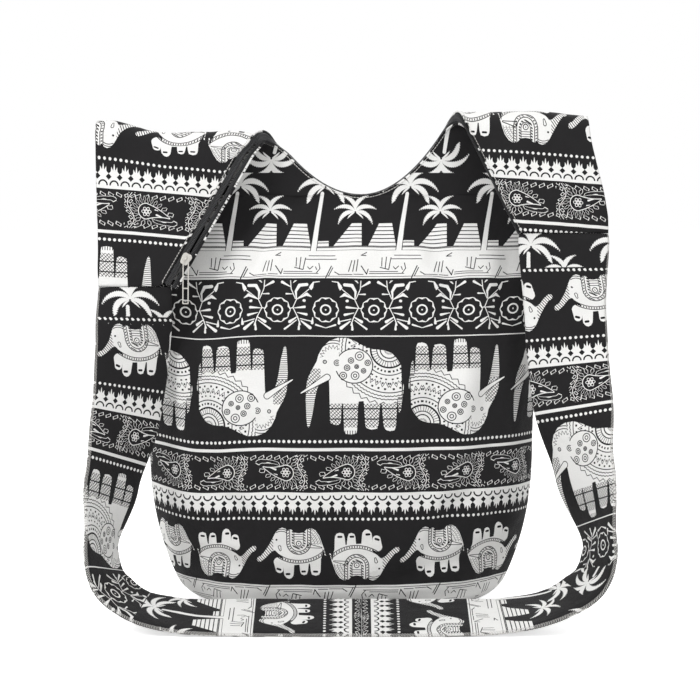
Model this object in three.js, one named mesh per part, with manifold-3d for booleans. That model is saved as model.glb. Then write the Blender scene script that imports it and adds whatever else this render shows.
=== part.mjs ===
// A zip-top sling hobo bag in printed cotton: two tank-top shaped panels sewn round
// the sides and the bottom, two wide shoulder arms folded forward over the top, a
// coil zip along the U-shaped mouth, and one long strap in two halves whose loop
// rests on the floor in front. Millimetres. The bag stands on z = 0, its front faces -Y.
import * as THREE from "three";

// ---- overall sizes ----
const bodyWidth = 366;          // side seam to side seam, a third of the way up
const bodyDepth = 148;          // front to back low on the stuffed body
const mouthHeight = 388;        // lowest point of the mouth above the floor
const shoulderRise = { left: 60, right: 73 };   // top of each fold above the mouth
const foldReach = { left: 228, right: 230 };    // outer end of each fold from the centre
const mouthHalf = 90;           // half of the mouth's width at the folds
const mouthCentre = 19;         // the mouth sits a little to the right
const clothThickness = 1.8;     // printed cotton and its lining, sewn as one wall
const seamGap = 0.3;            // between pieces that touch
const floorRound = 22;          // radius between the flat underside and the walls

// ---- shoulder arms ----
const foldRadius = 12;          // an arm's middle line as it goes over the top
const hangLength = { left: 136, right: 99 };    // fold to strap seam, down the front
const armEndInner = { left: 157, right: 165 };  // strap seam, inner end from the centre
const armEndOuter = { left: 224, right: 248 };
const armHalfThickness = 4.4;
const armLean = (10.7 * Math.PI) / 180 * (bodyDepth / 148);  // clears the front's bulge

// ---- strap ----
const strapWidth = 76;          // a sewn tube pressed flat
const strapThickness = 6.4;
const strapRise = 8;            // tilt of the stretch on the floor, rear edge up
const strapClear = 7;           // rear edge of that stretch from the body's front

// ---- zip ----
const bandHalf = 6.8;           // middle of the chain to the outside of the cloth
const coilInner = 0.11 * bandHalf;   // half of the slot between the two coil rows
const coilWidth = 0.4 * bandHalf;
const coilHeight = 1.8;
const coilPitch = 4.1;          // every third turn of the coil, as a rib
const coilSink = 0.4;           // foot of a coil row under the cloth's outer face
const tapeThickness = 0.6;
const sliderFromEnd = 25;       // slider's middle from the end of the chain
const sliderLength = 11;
const plateThickness = 1;
const pullLength = 42;
const pullWire = 1;
const pullHalfWidth = 2.9;      // outside of the wire loop

const bodyHalf = bodyWidth / 2;
const bulgeHeight = 0.24 * mouthHeight;
const lerp = (a, b, t) => a + (b - a) * t;
const unit = (t) => Math.min(1, Math.max(0, t));
const ease = (t) => unit(t) * unit(t) * (3 - 2 * unit(t));
const vec = (x, y, z) => new THREE.Vector3(x, y, z);

// ---- the stuffed body's level sections: a lens closed at the side seams ----
const foldHeight = (side) => mouthHeight + shoulderRise[side];

function halfWidthAt(z, side) {
  const waist = 0.385 * mouthHeight;
  if (z < waist) return bodyHalf - 0.1 * bodyWidth * ((waist - z) / waist) ** 2.3;
  const t = unit((z - waist) / (foldHeight(side) - waist));
  return bodyHalf + (foldReach[side] - bodyHalf) * t ** 1.7;
}

function halfDepthAt(z) {
  if (z < bulgeHeight) return bodyDepth / 2 - 0.068 * bodyDepth * ((bulgeHeight - z) / bulgeHeight) ** 2;
  const t = unit((z - bulgeHeight) / (mouthHeight - bulgeHeight));
  return bandHalf + (bodyDepth / 2 - bandHalf) * (1 - t ** 2.6) ** 1.45;
}

const lens = (f) => Math.max(0, 1 - f ** 2.6) ** 0.75;
const crestAt = (z) => mouthCentre * ease(z / mouthHeight);

// ---- an arm's middle line: up, over the fold, down the front ----
const riseLength = (side) => shoulderRise[side] - foldRadius;
const topAt = (side) => riseLength(side) + (foldRadius * Math.PI) / 2;
const arcLength = foldRadius * (Math.PI - armLean);
const armLength = (side) => riseLength(side) + arcLength + hangLength[side];

function armLine(side, p) {
  const rise = riseLength(side);
  if (p <= rise) return { mid: vec(0, 0, mouthHeight + p), out: vec(0, 1, 0) };
  const angle = Math.min((p - rise) / foldRadius, Math.PI - armLean);
  const down = Math.max(0, p - rise - arcLength);
  const out = vec(0, Math.cos(angle), Math.sin(angle));
  const mid = vec(0, -foldRadius, mouthHeight + rise).addScaledVector(out, foldRadius);
  mid.addScaledVector(vec(0, -Math.sin(angle), Math.cos(angle)), down);
  return { mid, out };
}

const sign = { left: -1, right: 1 };

function mouthEdgeX(side, p) {
  const top = topAt(side);
  const s = sign[side];
  if (p <= top) return mouthCentre + s * mouthHalf * Math.sqrt(p / top);
  return lerp(mouthCentre + s * mouthHalf, s * armEndInner[side], (p - top) / (armLength(side) - top));
}

function outerEdgeX(side, p) {
  const top = topAt(side);
  if (p <= top) return sign[side] * halfWidthAt(mouthHeight + (p * shoulderRise[side]) / top, side);
  return sign[side] * lerp(foldReach[side], armEndOuter[side], ease((p - top) / (armLength(side) - top)));
}

// The left arm's zip turns to the front as it comes over the fold.
function bandTurn(side, p) {
  if (side === "right") return 0;
  const start = riseLength(side) + 0.3 * arcLength;
  return (Math.PI / 2) * ease((p - start) / (0.95 * arcLength));
}

function chainCentre(side, p) {
  const { mid, out } = armLine(side, p);
  const point = mid.clone().addScaledVector(out, armHalfThickness * Math.sin(bandTurn(side, p)));
  point.x = mouthEdgeX(side, p);
  return point;
}

// along: towards the right arm; across: towards the back panel; out: away from the cloth
function chainFrame(side, p) {
  const step = 0.05;
  const at = (d) => {
    const q = p + d;
    if (q >= 0) return chainCentre(side, q);
    return chainCentre(side === "left" ? "right" : "left", -q);
  };
  const along = at(step).sub(at(-step)).multiplyScalar(sign[side]).normalize();
  const turn = bandTurn(side, p);
  const across = armLine(side, p).out.clone().multiplyScalar(Math.cos(turn));
  across.x += sign[side] * Math.sin(turn);
  across.addScaledVector(along, -across.dot(along)).normalize();
  const out = along.clone().cross(across);
  return { centre: chainCentre(side, p), along, across, out, turn };
}

function chainSpot(frame, b, n) {
  return frame.centre.clone().addScaledVector(frame.across, b).addScaledVector(frame.out, n);
}

// ---- meshes ----
function meshFrom(points, faces, material, name) {
  const geometry = new THREE.BufferGeometry();
  geometry.setAttribute("position", new THREE.Float32BufferAttribute(points.flatMap((v) => [v.x, v.y, v.z]), 3));
  geometry.setIndex(faces.flat());
  geometry.computeVertexNormals();
  const mesh = new THREE.Mesh(geometry, material);
  mesh.name = name;
  return mesh;
}

// A wall of cloth: every corner has an outer and an inner point, and the free edges
// are closed by a strip between the two.
class Cloth {
  constructor() {
    this.outer = [];
    this.inner = [];
    this.keys = new Map();
    this.faces = [];
  }
  corner(outer, inner) {
    const key = [outer.x, outer.y, outer.z, inner.x, inner.y, inner.z].map((v) => Math.round(v * 1000)).join();
    if (!this.keys.has(key)) {
      this.keys.set(key, this.outer.length);
      this.outer.push(outer);
      this.inner.push(inner);
    }
    return this.keys.get(key);
  }
  face(a, b, c) {
    if (a !== b && b !== c && c !== a) this.faces.push([a, b, c]);
  }
  patch(rows, flip) {
    for (let i = 0; i + 1 < rows.length; i += 1) {
      for (let j = 0; j + 1 < rows[i].length; j += 1) {
        const quad = [rows[i][j], rows[i][j + 1], rows[i + 1][j + 1], rows[i + 1][j]];
        if (flip) quad.reverse();
        this.face(quad[0], quad[1], quad[2]);
        this.face(quad[0], quad[2], quad[3]);
      }
    }
  }
  mesh(material, name) {
    const count = this.outer.length;
    const edges = new Map();
    const faces = [];
    for (const [a, b, c] of this.faces) {
      faces.push([a, b, c], [c + count, b + count, a + count]);
      for (const [from, to] of [[a, b], [b, c], [c, a]]) {
        if (edges.has(`${to},${from}`)) edges.delete(`${to},${from}`);
        else edges.set(`${from},${to}`, [from, to]);
      }
    }
    for (const [from, to] of edges.values()) {
      faces.push([to, from, from + count], [to, from + count, to + count]);
    }
    return meshFrom([...this.outer, ...this.inner], faces, material, name);
  }
}

// A strip or rod: closed sections of equal length joined from the first to the last.
function sweep(sections, material, name) {
  const sides = sections[0].length;
  const points = sections.flat();
  const faces = [];
  for (let i = 0; i + 1 < sections.length; i += 1) {
    for (let j = 0; j < sides; j += 1) {
      const a = i * sides + j;
      const b = i * sides + ((j + 1) % sides);
      faces.push([a, b, b + sides], [a, b + sides, a + sides]);
    }
  }
  const last = (sections.length - 1) * sides;
  for (let j = 1; j + 1 < sides; j += 1) {
    faces.push([0, j + 1, j], [last, last + j, last + j + 1]);
  }
  return meshFrom(points, faces, material, name);
}

// ---- panels ----
const columns = [0, 0.025, 0.06, 0.13, 0.26, 0.38, 0.5, 0.61, 0.71, 0.8, 0.88, 0.94, 0.98, 1];

function bodyCorner(cloth, face, f, side, z, inset, wallZ, wallInset, across) {
  const crest = crestAt(z);
  const reach = halfWidthAt(z, side) - sign[side] * crest;
  const depth = halfDepthAt(z);
  const spot = (cut, height) => vec(
    crest + sign[side] * (reach - cut) * f,
    face * (seamGap / 2 + across * (depth - cut) * lens(f)),
    height,
  );
  return cloth.corner(spot(inset, z), spot(wallInset, wallZ));
}

function armCorner(cloth, face, f, side, p) {
  const { mid, out } = armLine(side, p);
  const frame = chainFrame(side, p);
  const half = lerp(bandHalf, armHalfThickness, ease(p / topAt(side)));
  const outerX = outerEdgeX(side, p);
  const edge = chainSpot(frame, face * bandHalf, 0);
  const edgeInner = face > 0
    ? chainSpot(frame, bandHalf - clothThickness * Math.cos(frame.turn), -clothThickness * Math.sin(frame.turn))
    : chainSpot(frame, clothThickness - bandHalf, 0);
  const spot = (reachEnd, target, cut, g) => {
    const x = lerp(target.x, reachEnd, g);
    const point = mid.clone().addScaledVector(out, face * (seamGap / 2 + (half - cut) * lens(g)));
    point.x = x;
    return point;
  };
  const width = Math.abs(outerX - edge.x);
  const lip = 1 - ease((f * width) / (face < 0 ? lerp(6.5, 2, Math.sin(frame.turn)) : 6.5));
  const place = (reachEnd, target, cut) => {
    const flat = spot(reachEnd, target, cut, f);
    const atEdge = spot(reachEnd, target, cut, 0);
    return flat.add(target.clone().sub(atEdge).multiplyScalar(lip));
  };
  return cloth.corner(
    place(outerX, edge, 0),
    place(outerX - sign[side] * clothThickness, edgeInner, clothThickness),
  );
}

function armSteps(side) {
  const rise = riseLength(side);
  const steps = [];
  for (let i = 1; i <= 5; i += 1) steps.push(rise * (i / 5) ** 2);
  for (let i = 1; i <= 7; i += 1) steps.push(rise + (arcLength * i) / 7);
  const hangs = [0.07, 0.25, 0.45, 0.65, 0.85, 1];
  steps.push(...hangs.map((part) => rise + arcLength + hangLength[side] * part));
  return steps;
}

function panel(face, material, name) {
  const cloth = new Cloth();
  const t = clothThickness;
  for (const side of ["left", "right"]) {
    const rows = [];
    const row = (make) => rows.push(columns.map(make));
    for (const across of [0, 0.5, 1]) {
      row((f) => bodyCorner(cloth, face, f, side, 0, floorRound, t, floorRound, across));
    }
    for (const turn of [25, 50, 72, 90]) {
      const a = (turn * Math.PI) / 180;
      const z = floorRound * (1 - Math.cos(a));
      const wallZ = floorRound - (floorRound - t) * Math.cos(a);
      const inset = floorRound * (1 - Math.sin(a));
      const wallInset = floorRound - (floorRound - t) * Math.sin(a);
      row((f) => bodyCorner(cloth, face, f, side, z, inset, wallZ, wallInset, 1));
    }
    for (const part of [0.1, 0.24, 0.38, 0.52, 0.65, 0.76, 0.85, 0.92, 0.97]) {
      const z = lerp(floorRound, mouthHeight, part);
      row((f) => bodyCorner(cloth, face, f, side, z, 0, z, t, 1));
    }
    row((f) => armCorner(cloth, face, f, side, 0));
    for (const p of armSteps(side)) row((f) => armCorner(cloth, face, f, side, p));
    cloth.patch(rows, (face > 0) !== (side === "left"));
  }
  return cloth.mesh(material, name);
}

// ---- zip ----
function chainSteps() {
  const steps = [];
  for (const side of ["left", "right"]) {
    const rise = riseLength(side);
    const list = [];
    for (let i = 1; i <= 14; i += 1) list.push(rise * (i / 14) ** 2);
    for (let i = 1; i <= 12; i += 1) list.push(rise + (arcLength * i) / 12);
    if (side === "left") list.push(...[1.08, 1.16, 1.25].map((part) => rise + arcLength * part));
    list.push(armLength(side) - 1.2);
    const frames = list.map((p) => chainFrame(side, p));
    if (side === "left") steps.push(...frames.reverse(), chainFrame("left", 0));
    else steps.push(...frames);
  }
  return steps;
}

// Evenly spaced stations along the whole chain, from the left arm's end to the right's.
function evenStations(spacing) {
  const marks = [];
  const fine = 900;
  const total = armLength("left") + armLength("right") - 2.4;
  let length = 0;
  let previous = null;
  for (let i = 0; i <= fine; i += 1) {
    const q = -armLength("left") + 1.2 + (total * i) / fine;
    const side = q < 0 ? "left" : "right";
    const point = chainCentre(side, Math.abs(q));
    if (previous) length += point.distanceTo(previous);
    previous = point;
    marks.push({ q, length });
  }
  const count = Math.round(length / spacing);
  const stations = [];
  let k = 0;
  for (let i = 0; i <= count; i += 1) {
    const wanted = (length * i) / count;
    while (k + 1 < marks.length - 1 && marks[k + 1].length < wanted) k += 1;
    const span = marks[k + 1].length - marks[k].length;
    const q = lerp(marks[k].q, marks[k + 1].q, unit((wanted - marks[k].length) / span));
    stations.push(chainFrame(q < 0 ? "left" : "right", Math.abs(q)));
  }
  return stations;
}

function strip(face, frames, section, material, name) {
  const sections = frames.map((frame, i) => {
    const corners = section(frame, i).map(([b, n]) => chainSpot(frame, face * b, n));
    return face > 0 ? corners : corners.reverse();
  });
  return sweep(sections, material, name);
}

function zipTape(face, material, name) {
  const top = -coilSink - seamGap;
  return strip(face, chainSteps(), (frame) => {
    const wall = face > 0 ? clothThickness * Math.cos(frame.turn) + 0.3 : clothThickness + 0.4 * Math.sin(frame.turn);
    const edge = bandHalf - wall - 0.7;
    return [[1, top - tapeThickness], [edge, top - tapeThickness], [edge, top], [1, top]];
  }, material, name);
}

function zipCoil(face, material, name) {
  return strip(face, evenStations(coilPitch / 2), (frame, i) => {
    const crest = i % 2;
    const top = coilHeight - coilSink - 0.5 * (1 - crest);
    const outer = coilInner + coilWidth - 0.4 * (1 - crest);
    return [[coilInner, -coilSink], [outer, -coilSink], [outer, top], [coilInner, top]];
  }, material, name);
}

// ---- slider and pull, in the straight chain's own directions ----
const sliderStep = armLength("left") - sliderFromEnd;
const sliderFrame = chainFrame("left", sliderStep);

function solidOf(outline, from, to) {
  const shape = new THREE.Shape(outline.map(([x, y]) => new THREE.Vector2(x, y)));
  const geometry = new THREE.ExtrudeGeometry(shape, { depth: to - from, bevelEnabled: false });
  geometry.translate(0, 0, from);
  return geometry;
}

const { default: Module } = await import("manifold-3d");
const wasm = await Module();
wasm.setup();
const { mergeVertices } = await import("three/addons/utils/BufferGeometryUtils.js");

function toManifold(geometry) {
  const plain = geometry.clone();
  plain.deleteAttribute("normal");
  plain.deleteAttribute("uv");
  const merged = mergeVertices(plain, 1e-4);
  return new wasm.Manifold(new wasm.Mesh({
    numProp: 3,
    vertProperties: new Float32Array(merged.attributes.position.array),
    triVerts: new Uint32Array(merged.index.array),
  }));
}

function fromManifold(solid) {
  const mesh = solid.getMesh();
  const geometry = new THREE.BufferGeometry();
  geometry.setAttribute("position", new THREE.BufferAttribute(new Float32Array(mesh.vertProperties), 3));
  geometry.setIndex(new THREE.BufferAttribute(new Uint32Array(mesh.triVerts), 1));
  geometry.computeVertexNormals();
  return geometry;
}

const joined = (pieces) => fromManifold(pieces.map(toManifold).reduce((a, b) => a.add(b)));

// x across the chain, y along it with the closing end at -y, z away from the cloth
function sliderGeometry() {
  const coilTop = coilHeight - coilSink;
  const wide = 0.65 * bandHalf;
  const half = sliderLength / 2;
  const plate = [
    [-wide, -half + 1.6], [-wide + 1.6, -half], [wide - 1.6, -half], [wide, -half + 1.6],
    [wide, -1], [wide - 1, half - 1], [wide - 2, half], [-wide + 2, half], [-wide + 1, half - 1], [-wide, -1],
  ];
  const top = coilTop + 0.35;
  const tapeFoot = -coilSink - seamGap - tapeThickness;
  const underWide = plate.map(([x, y]) => [x * 0.72, y]);
  const flange = (s) => [
    [s * (wide - 0.55), -half + 1.6], [s * wide, -half + 1.6], [s * wide, -1], [s * (wide - 0.55), -1],
  ];
  const post = [[-0.42, -half + 0.6], [0, -half + 0.1], [0.42, -half + 0.6], [0.3, -half + 3.4], [-0.3, -half + 3.4]];
  const over = top + plateThickness;
  const loopGap = pullWire + 0.7;
  const bridge = new THREE.Shape([
    [-2.3, over - 0.3], [-2.3, over + loopGap + 0.2], [-1.7, over + loopGap + 0.9], [1.7, over + loopGap + 0.9],
    [2.3, over + loopGap + 0.2], [2.3, over - 0.3], [1.5, over - 0.3], [1.5, over + loopGap],
    [-1.5, over + loopGap], [-1.5, over - 0.3],
  ].map(([x, y]) => new THREE.Vector2(x, y)));
  const bail = new THREE.ExtrudeGeometry(bridge, { depth: 0.8, bevelEnabled: false });
  bail.translate(0, 0, -0.4);
  bail.rotateX(Math.PI / 2);
  bail.rotateZ(Math.PI / 2);
  const clean = (list) => (THREE.ShapeUtils.area(list.map(([x, y]) => new THREE.Vector2(x, y))) < 0 ? [...list].reverse() : list);
  return {
    geometry: joined([
      solidOf(plate, top, over),
      solidOf(underWide, tapeFoot - 0.35 - plateThickness, tapeFoot - 0.35),
      solidOf(clean(flange(1)), -coilSink - seamGap + 0.35, top + 0.2),
      solidOf(clean(flange(-1)), -coilSink - seamGap + 0.35, top + 0.2),
      solidOf(clean(post), tapeFoot - 0.55, top + 0.2),
      bail,
    ]),
    pullHeight: over + 0.35 + pullWire / 2,
  };
}

// A narrow loop of flat-sided wire with one cross bar; y runs down its length.
function pullGeometry() {
  const w = pullHalfWidth;
  const wire = pullWire;
  const outline = new THREE.Shape();
  outline.moveTo(-w + 0.8, -wire / 2);
  outline.lineTo(w - 0.8, -wire / 2);
  outline.quadraticCurveTo(w, -wire / 2, w, 0.3);
  outline.lineTo(w, pullLength - 1);
  outline.quadraticCurveTo(w, pullLength, w - 1, pullLength);
  outline.lineTo(-w + 1, pullLength);
  outline.quadraticCurveTo(-w, pullLength, -w, pullLength - 1);
  outline.lineTo(-w, 0.3);
  outline.quadraticCurveTo(-w, -wire / 2, -w + 0.8, -wire / 2);
  const bar = pullLength * 0.64;
  const slot = (from, to) => {
    const hole = new THREE.Path();
    hole.moveTo(-w + wire, from);
    hole.lineTo(-w + wire, to);
    hole.lineTo(w - wire, to);
    hole.lineTo(w - wire, from);
    hole.closePath();
    return hole;
  };
  outline.holes.push(slot(wire / 2, bar), slot(bar + wire, pullLength - wire));
  const geometry = new THREE.ExtrudeGeometry(outline, { depth: wire, bevelEnabled: false, curveSegments: 4 });
  geometry.translate(0, 0, -wire / 2);
  return geometry;
}

// ---- strap halves: the middle line, and how its width turns from facing the front to
// lying on the floor ----
function strapHalf(side, material, name) {
  const s = sign[side];
  const half = strapWidth / 2;
  const end = armLine(side, armLength(side));
  const lean = vec(0, -Math.sin(armLean), -Math.cos(armLean));
  const startX = (s * (armEndInner[side] + armEndOuter[side])) / 2;
  const start = end.mid.clone().addScaledVector(lean, 2 * seamGap);
  const front = bodyDepth / 2;
  const floorY = -(front + strapClear + half * 0.98);
  const lift = Math.asin(strapRise / half);
  const floorZ = half * Math.sin(lift) + 1.25;
  const side0 = bodyHalf;
  const drop = start.z;
  const high = (part) => lerp(floorZ + 60, drop, part);
  const spread = side === "left" ? 0 : 14;
  const stations = [
    { at: vec(startX, start.y, start.z), turn: 0, width: armEndOuter[side] - armEndInner[side] },
    { at: vec(startX, start.y, start.z).addScaledVector(lean, 8), turn: 4, width: armEndOuter[side] - armEndInner[side] + 1 },
    { at: vec(lerp(startX, s * (side0 + 14 + spread), 0.3), lerp(start.y, floorY, 0.1), high(0.74)), turn: side === "left" ? 32 : 10, width: strapWidth },
    { at: vec(lerp(startX, s * (side0 + 20 + spread), 0.6), lerp(start.y, floorY, 0.26), high(0.5)), turn: side === "left" ? 40 : 18, width: strapWidth },
    { at: vec(s * (side0 + 27 + spread), lerp(start.y, floorY, 0.48), high(0.24)), turn: side === "left" ? 56 : 50, width: strapWidth },
    { at: vec(s * (side0 + 35 + spread * 1.3), lerp(start.y, floorY, 0.74), high(0)), turn: 76, width: strapWidth },
  ];
  const flat = vec(0, Math.cos(lift), Math.sin(lift));
  const floorStations = [
    { at: vec(s * (side0 + 26 + spread * 1.1), lerp(start.y, floorY, 0.9), floorZ + 31), width: strapWidth, across: vec(-s * 0.16, 0.97, 0.14) },
    { at: vec(s * (side0 + 3 + spread * 0.6), lerp(start.y, floorY, 0.98), floorZ + 12), width: strapWidth, across: vec(-s * 0.1, 0.97, 0.12) },
    { at: vec(s * (side0 - 34 + spread * 0.3), floorY, floorZ + 2.4), width: strapWidth, across: vec(0, 0.98, 0.17) },
    { at: vec(lerp(s * (side0 - 28), mouthCentre, 0.5), floorY, floorZ), width: strapWidth, across: flat },
    { at: vec(mouthCentre + (s * seamGap) / 2, floorY, floorZ), width: strapWidth, across: flat },
  ];
  const all = [
    ...stations.map(({ at, turn, width }) => {
      const a = (turn * Math.PI) / 180;
      return { at, width, across: vec(-s * Math.cos(a), Math.sin(a), 0) };
    }),
    ...floorStations,
  ];
  const path = new THREE.CatmullRomCurve3(all.map((item) => item.at), false, "centripetal");
  const steps = 44;
  const last = all.length - 1;
  const sections = [];
  for (let i = 0; i <= steps; i += 1) {
    const t = i / steps;
    const k = Math.min(last - 1, Math.floor(t * last));
    const mix = ease(t * last - k);
    const centre = path.getPoint(t);
    const along = path.getTangent(t);
    if (i === 0) along.copy(lean);
    if (i === steps) along.set(-s, 0, 0);
    const across = all[k].across.clone().lerp(all[k + 1].across, mix);
    across.addScaledVector(along, -across.dot(along)).normalize();
    const up = along.clone().cross(across).multiplyScalar(s);
    const width = lerp(all[k].width, all[k + 1].width, mix) / 2;
    const section = [];
    const profile = [[-1, -0.28], [-0.72, -0.8], [0, -1], [0.72, -0.8], [1, -0.28], [1, 0.28], [0.72, 0.8], [0, 1], [-0.72, 0.8], [-1, 0.28]];
    for (const [w, h] of profile) {
      section.push(centre.clone().addScaledVector(across, w * width).addScaledVector(up, (h * strapThickness) / 2));
    }
    sections.push(s < 0 ? section.reverse() : section);
  }
  return sweep(sections, material, name);
}

// ---- materials ----
const printed = new THREE.MeshStandardMaterial({ color: 0x1c1b1c, roughness: 0.85, metalness: 0 });
const tapeCloth = new THREE.MeshStandardMaterial({ color: 0x151515, roughness: 0.9, metalness: 0 });
const nylon = new THREE.MeshStandardMaterial({ color: 0x232426, roughness: 0.45, metalness: 0 });
const nickel = new THREE.MeshStandardMaterial({ color: 0xc9c9cb, roughness: 0.25, metalness: 0.95 });

const bag = new THREE.Group();
bag.add(panel(-1, printed, "front_panel"));
bag.add(panel(1, printed, "back_panel"));
bag.add(strapHalf("left", printed, "strap_left"));
bag.add(strapHalf("right", printed, "strap_right"));
bag.add(zipTape(-1, tapeCloth, "zip_tape_front"));
bag.add(zipTape(1, tapeCloth, "zip_tape_back"));
bag.add(zipCoil(-1, nylon, "zip_coil_front"));
bag.add(zipCoil(1, nylon, "zip_coil_back"));

const { geometry: sliderShape, pullHeight } = sliderGeometry();
const sliderGroup = new THREE.Group();
sliderGroup.position.copy(sliderFrame.centre);
sliderGroup.setRotationFromMatrix(new THREE.Matrix4().makeBasis(
  sliderFrame.across, sliderFrame.along.clone().negate(), sliderFrame.out,
));
const slider = new THREE.Mesh(sliderShape, nickel);
slider.name = "zip_slider";
sliderGroup.add(slider);
bag.add(sliderGroup);

// the pull hangs straight down over the chain, in the plane of the zip
const pullAlong = vec(0, 0, -1);
pullAlong.addScaledVector(sliderFrame.out, -pullAlong.dot(sliderFrame.out)).normalize();
const pull = new THREE.Mesh(pullGeometry(), nickel);
pull.name = "zip_pull";
const pullGroup = new THREE.Group();
pullGroup.position.copy(chainSpot(sliderFrame, 0, pullHeight));
pullGroup.setRotationFromMatrix(new THREE.Matrix4().makeBasis(
  pullAlong.clone().cross(sliderFrame.out), pullAlong, sliderFrame.out,
));
pullGroup.add(pull);
bag.add(pullGroup);

// the frame's origin is on the floor, under the middle of the whole piece
const middle = new THREE.Box3().setFromObject(bag).getCenter(vec(0, 0, 0));
bag.position.set(-middle.x, -middle.y, 0);
const placed = new THREE.Group();
placed.add(bag);

export default placed;
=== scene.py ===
import math
import bpy
import numpy as np
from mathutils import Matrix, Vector, noise


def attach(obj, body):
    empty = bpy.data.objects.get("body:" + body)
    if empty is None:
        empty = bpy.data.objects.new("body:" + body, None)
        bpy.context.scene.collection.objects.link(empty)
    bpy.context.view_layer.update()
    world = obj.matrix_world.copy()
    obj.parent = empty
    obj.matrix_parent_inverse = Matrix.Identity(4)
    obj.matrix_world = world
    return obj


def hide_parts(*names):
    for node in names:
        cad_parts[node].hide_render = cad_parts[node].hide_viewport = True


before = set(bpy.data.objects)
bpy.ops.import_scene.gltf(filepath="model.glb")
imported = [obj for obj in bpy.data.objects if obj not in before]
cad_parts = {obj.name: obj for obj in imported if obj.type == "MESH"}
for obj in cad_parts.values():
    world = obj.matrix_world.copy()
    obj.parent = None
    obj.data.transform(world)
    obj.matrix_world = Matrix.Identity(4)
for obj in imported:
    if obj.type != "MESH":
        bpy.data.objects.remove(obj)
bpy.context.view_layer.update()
sideSign = {"left": -1, "right": 1}

# sizes of the sewn bag, in millimetres, as the part has them
bagShape = {
    "bodyWidth": 366.0,
    "bodyDepth": 148.0,
    "mouthHeight": 388.0,
    "shoulderRise": {"left": 60.0, "right": 73.0},
    "foldReach": {"left": 228.0, "right": 230.0},
    "mouthHalf": 90.0,
    "mouthCentre": 19.0,
    "wall": 1.8,
    "lip": 6.5,           # reach of the cloth that bends in to the zip
    "turnedLip": 2,
    "gap": 0.3,
    "floorRound": 22.0,
    "foldRadius": 12.0,
    "hangLength": {"left": 136.0, "right": 99.0},
    "armEndInner": {"left": 157.0, "right": 165.0},
    "armEndOuter": {"left": 224.0, "right": 248.0},
    "armHalf": 4.4,
    "armLean": math.radians(10.7),
    "bandHalf": 6.8,
    "frameShift": (-9.216698, 40.933342, 0.0),   # design origin to the row's frame
}
bulgeHeight = 0.24 * bagShape["mouthHeight"]
bodyHalf = bagShape["bodyWidth"] / 2


def lerp(a, b, t):
    return a + (b - a) * t


def ease(t):
    t = np.clip(t, 0.0, 1.0)
    return t * t * (3 - 2 * t)


def inFrame(points):
    return (np.asarray(points, float) + np.array(bagShape["frameShift"])) * 0.001


def foldHeight(side):
    return bagShape["mouthHeight"] + bagShape["shoulderRise"][side]


def halfWidthAt(z, side):
    waist = 0.385 * bagShape["mouthHeight"]
    if z < waist:
        return bodyHalf - 0.1 * bagShape["bodyWidth"] * ((waist - z) / waist) ** 2.3
    t = min(1.0, (z - waist) / (foldHeight(side) - waist))
    return bodyHalf + (bagShape["foldReach"][side] - bodyHalf) * t ** 1.7


def halfDepthAt(z):
    depth = bagShape["bodyDepth"]
    if z < bulgeHeight:
        return depth / 2 - 0.068 * depth * ((bulgeHeight - z) / bulgeHeight) ** 2
    t = min(1.0, (z - bulgeHeight) / (bagShape["mouthHeight"] - bulgeHeight))
    return bagShape["bandHalf"] + (depth / 2 - bagShape["bandHalf"]) * (1 - t ** 2.6) ** 1.45


def lens(f):
    return np.maximum(0.0, 1 - f ** 2.6) ** 0.75


def crestAt(z):
    return bagShape["mouthCentre"] * ease(z / bagShape["mouthHeight"])


# an arm's middle line: up from the mouth, over the fold, down the front
def riseLength(side):
    return bagShape["shoulderRise"][side] - bagShape["foldRadius"]


def topAt(side):
    return riseLength(side) + bagShape["foldRadius"] * math.pi / 2


arcLength = bagShape["foldRadius"] * (math.pi - bagShape["armLean"])


def armLength(side):
    return riseLength(side) + arcLength + bagShape["hangLength"][side]


def armLine(side, p):
    rise = riseLength(side)
    if p <= rise:
        return np.array([0, 0, bagShape["mouthHeight"] + p]), np.array([0.0, 1.0, 0.0])
    radius = bagShape["foldRadius"]
    angle = min((p - rise) / radius, math.pi - bagShape["armLean"])
    down = max(0.0, p - rise - arcLength)
    out = np.array([0.0, math.cos(angle), math.sin(angle)])
    mid = np.array([0.0, -radius, bagShape["mouthHeight"] + rise]) + out * radius
    return mid + np.array([0.0, -math.sin(angle), math.cos(angle)]) * down, out


def mouthEdgeX(side, p):
    top = topAt(side)
    s = sideSign[side]
    centre = bagShape["mouthCentre"]
    if p <= top:
        return centre + s * bagShape["mouthHalf"] * math.sqrt(max(p, 0.0) / top)
    part = (p - top) / (armLength(side) - top)
    return lerp(centre + s * bagShape["mouthHalf"], s * bagShape["armEndInner"][side], part)


def outerEdgeX(side, p):
    top = topAt(side)
    s = sideSign[side]
    if p <= top:
        height = bagShape["mouthHeight"] + p * bagShape["shoulderRise"][side] / top
        return s * halfWidthAt(height, side)
    part = ease((p - top) / (armLength(side) - top))
    return s * lerp(bagShape["foldReach"][side], bagShape["armEndOuter"][side], part)


def bandTurn(side, p):
    if side == "right":
        return 0.0
    start = riseLength(side) + 0.3 * arcLength
    return math.pi / 2 * float(ease((p - start) / (0.95 * arcLength)))


def chainCentre(side, p):
    mid, out = armLine(side, p)
    point = mid + out * bagShape["armHalf"] * math.sin(bandTurn(side, p))
    point[0] = mouthEdgeX(side, p)
    return point


def unitVector(v):
    return v / np.linalg.norm(v)


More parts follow.
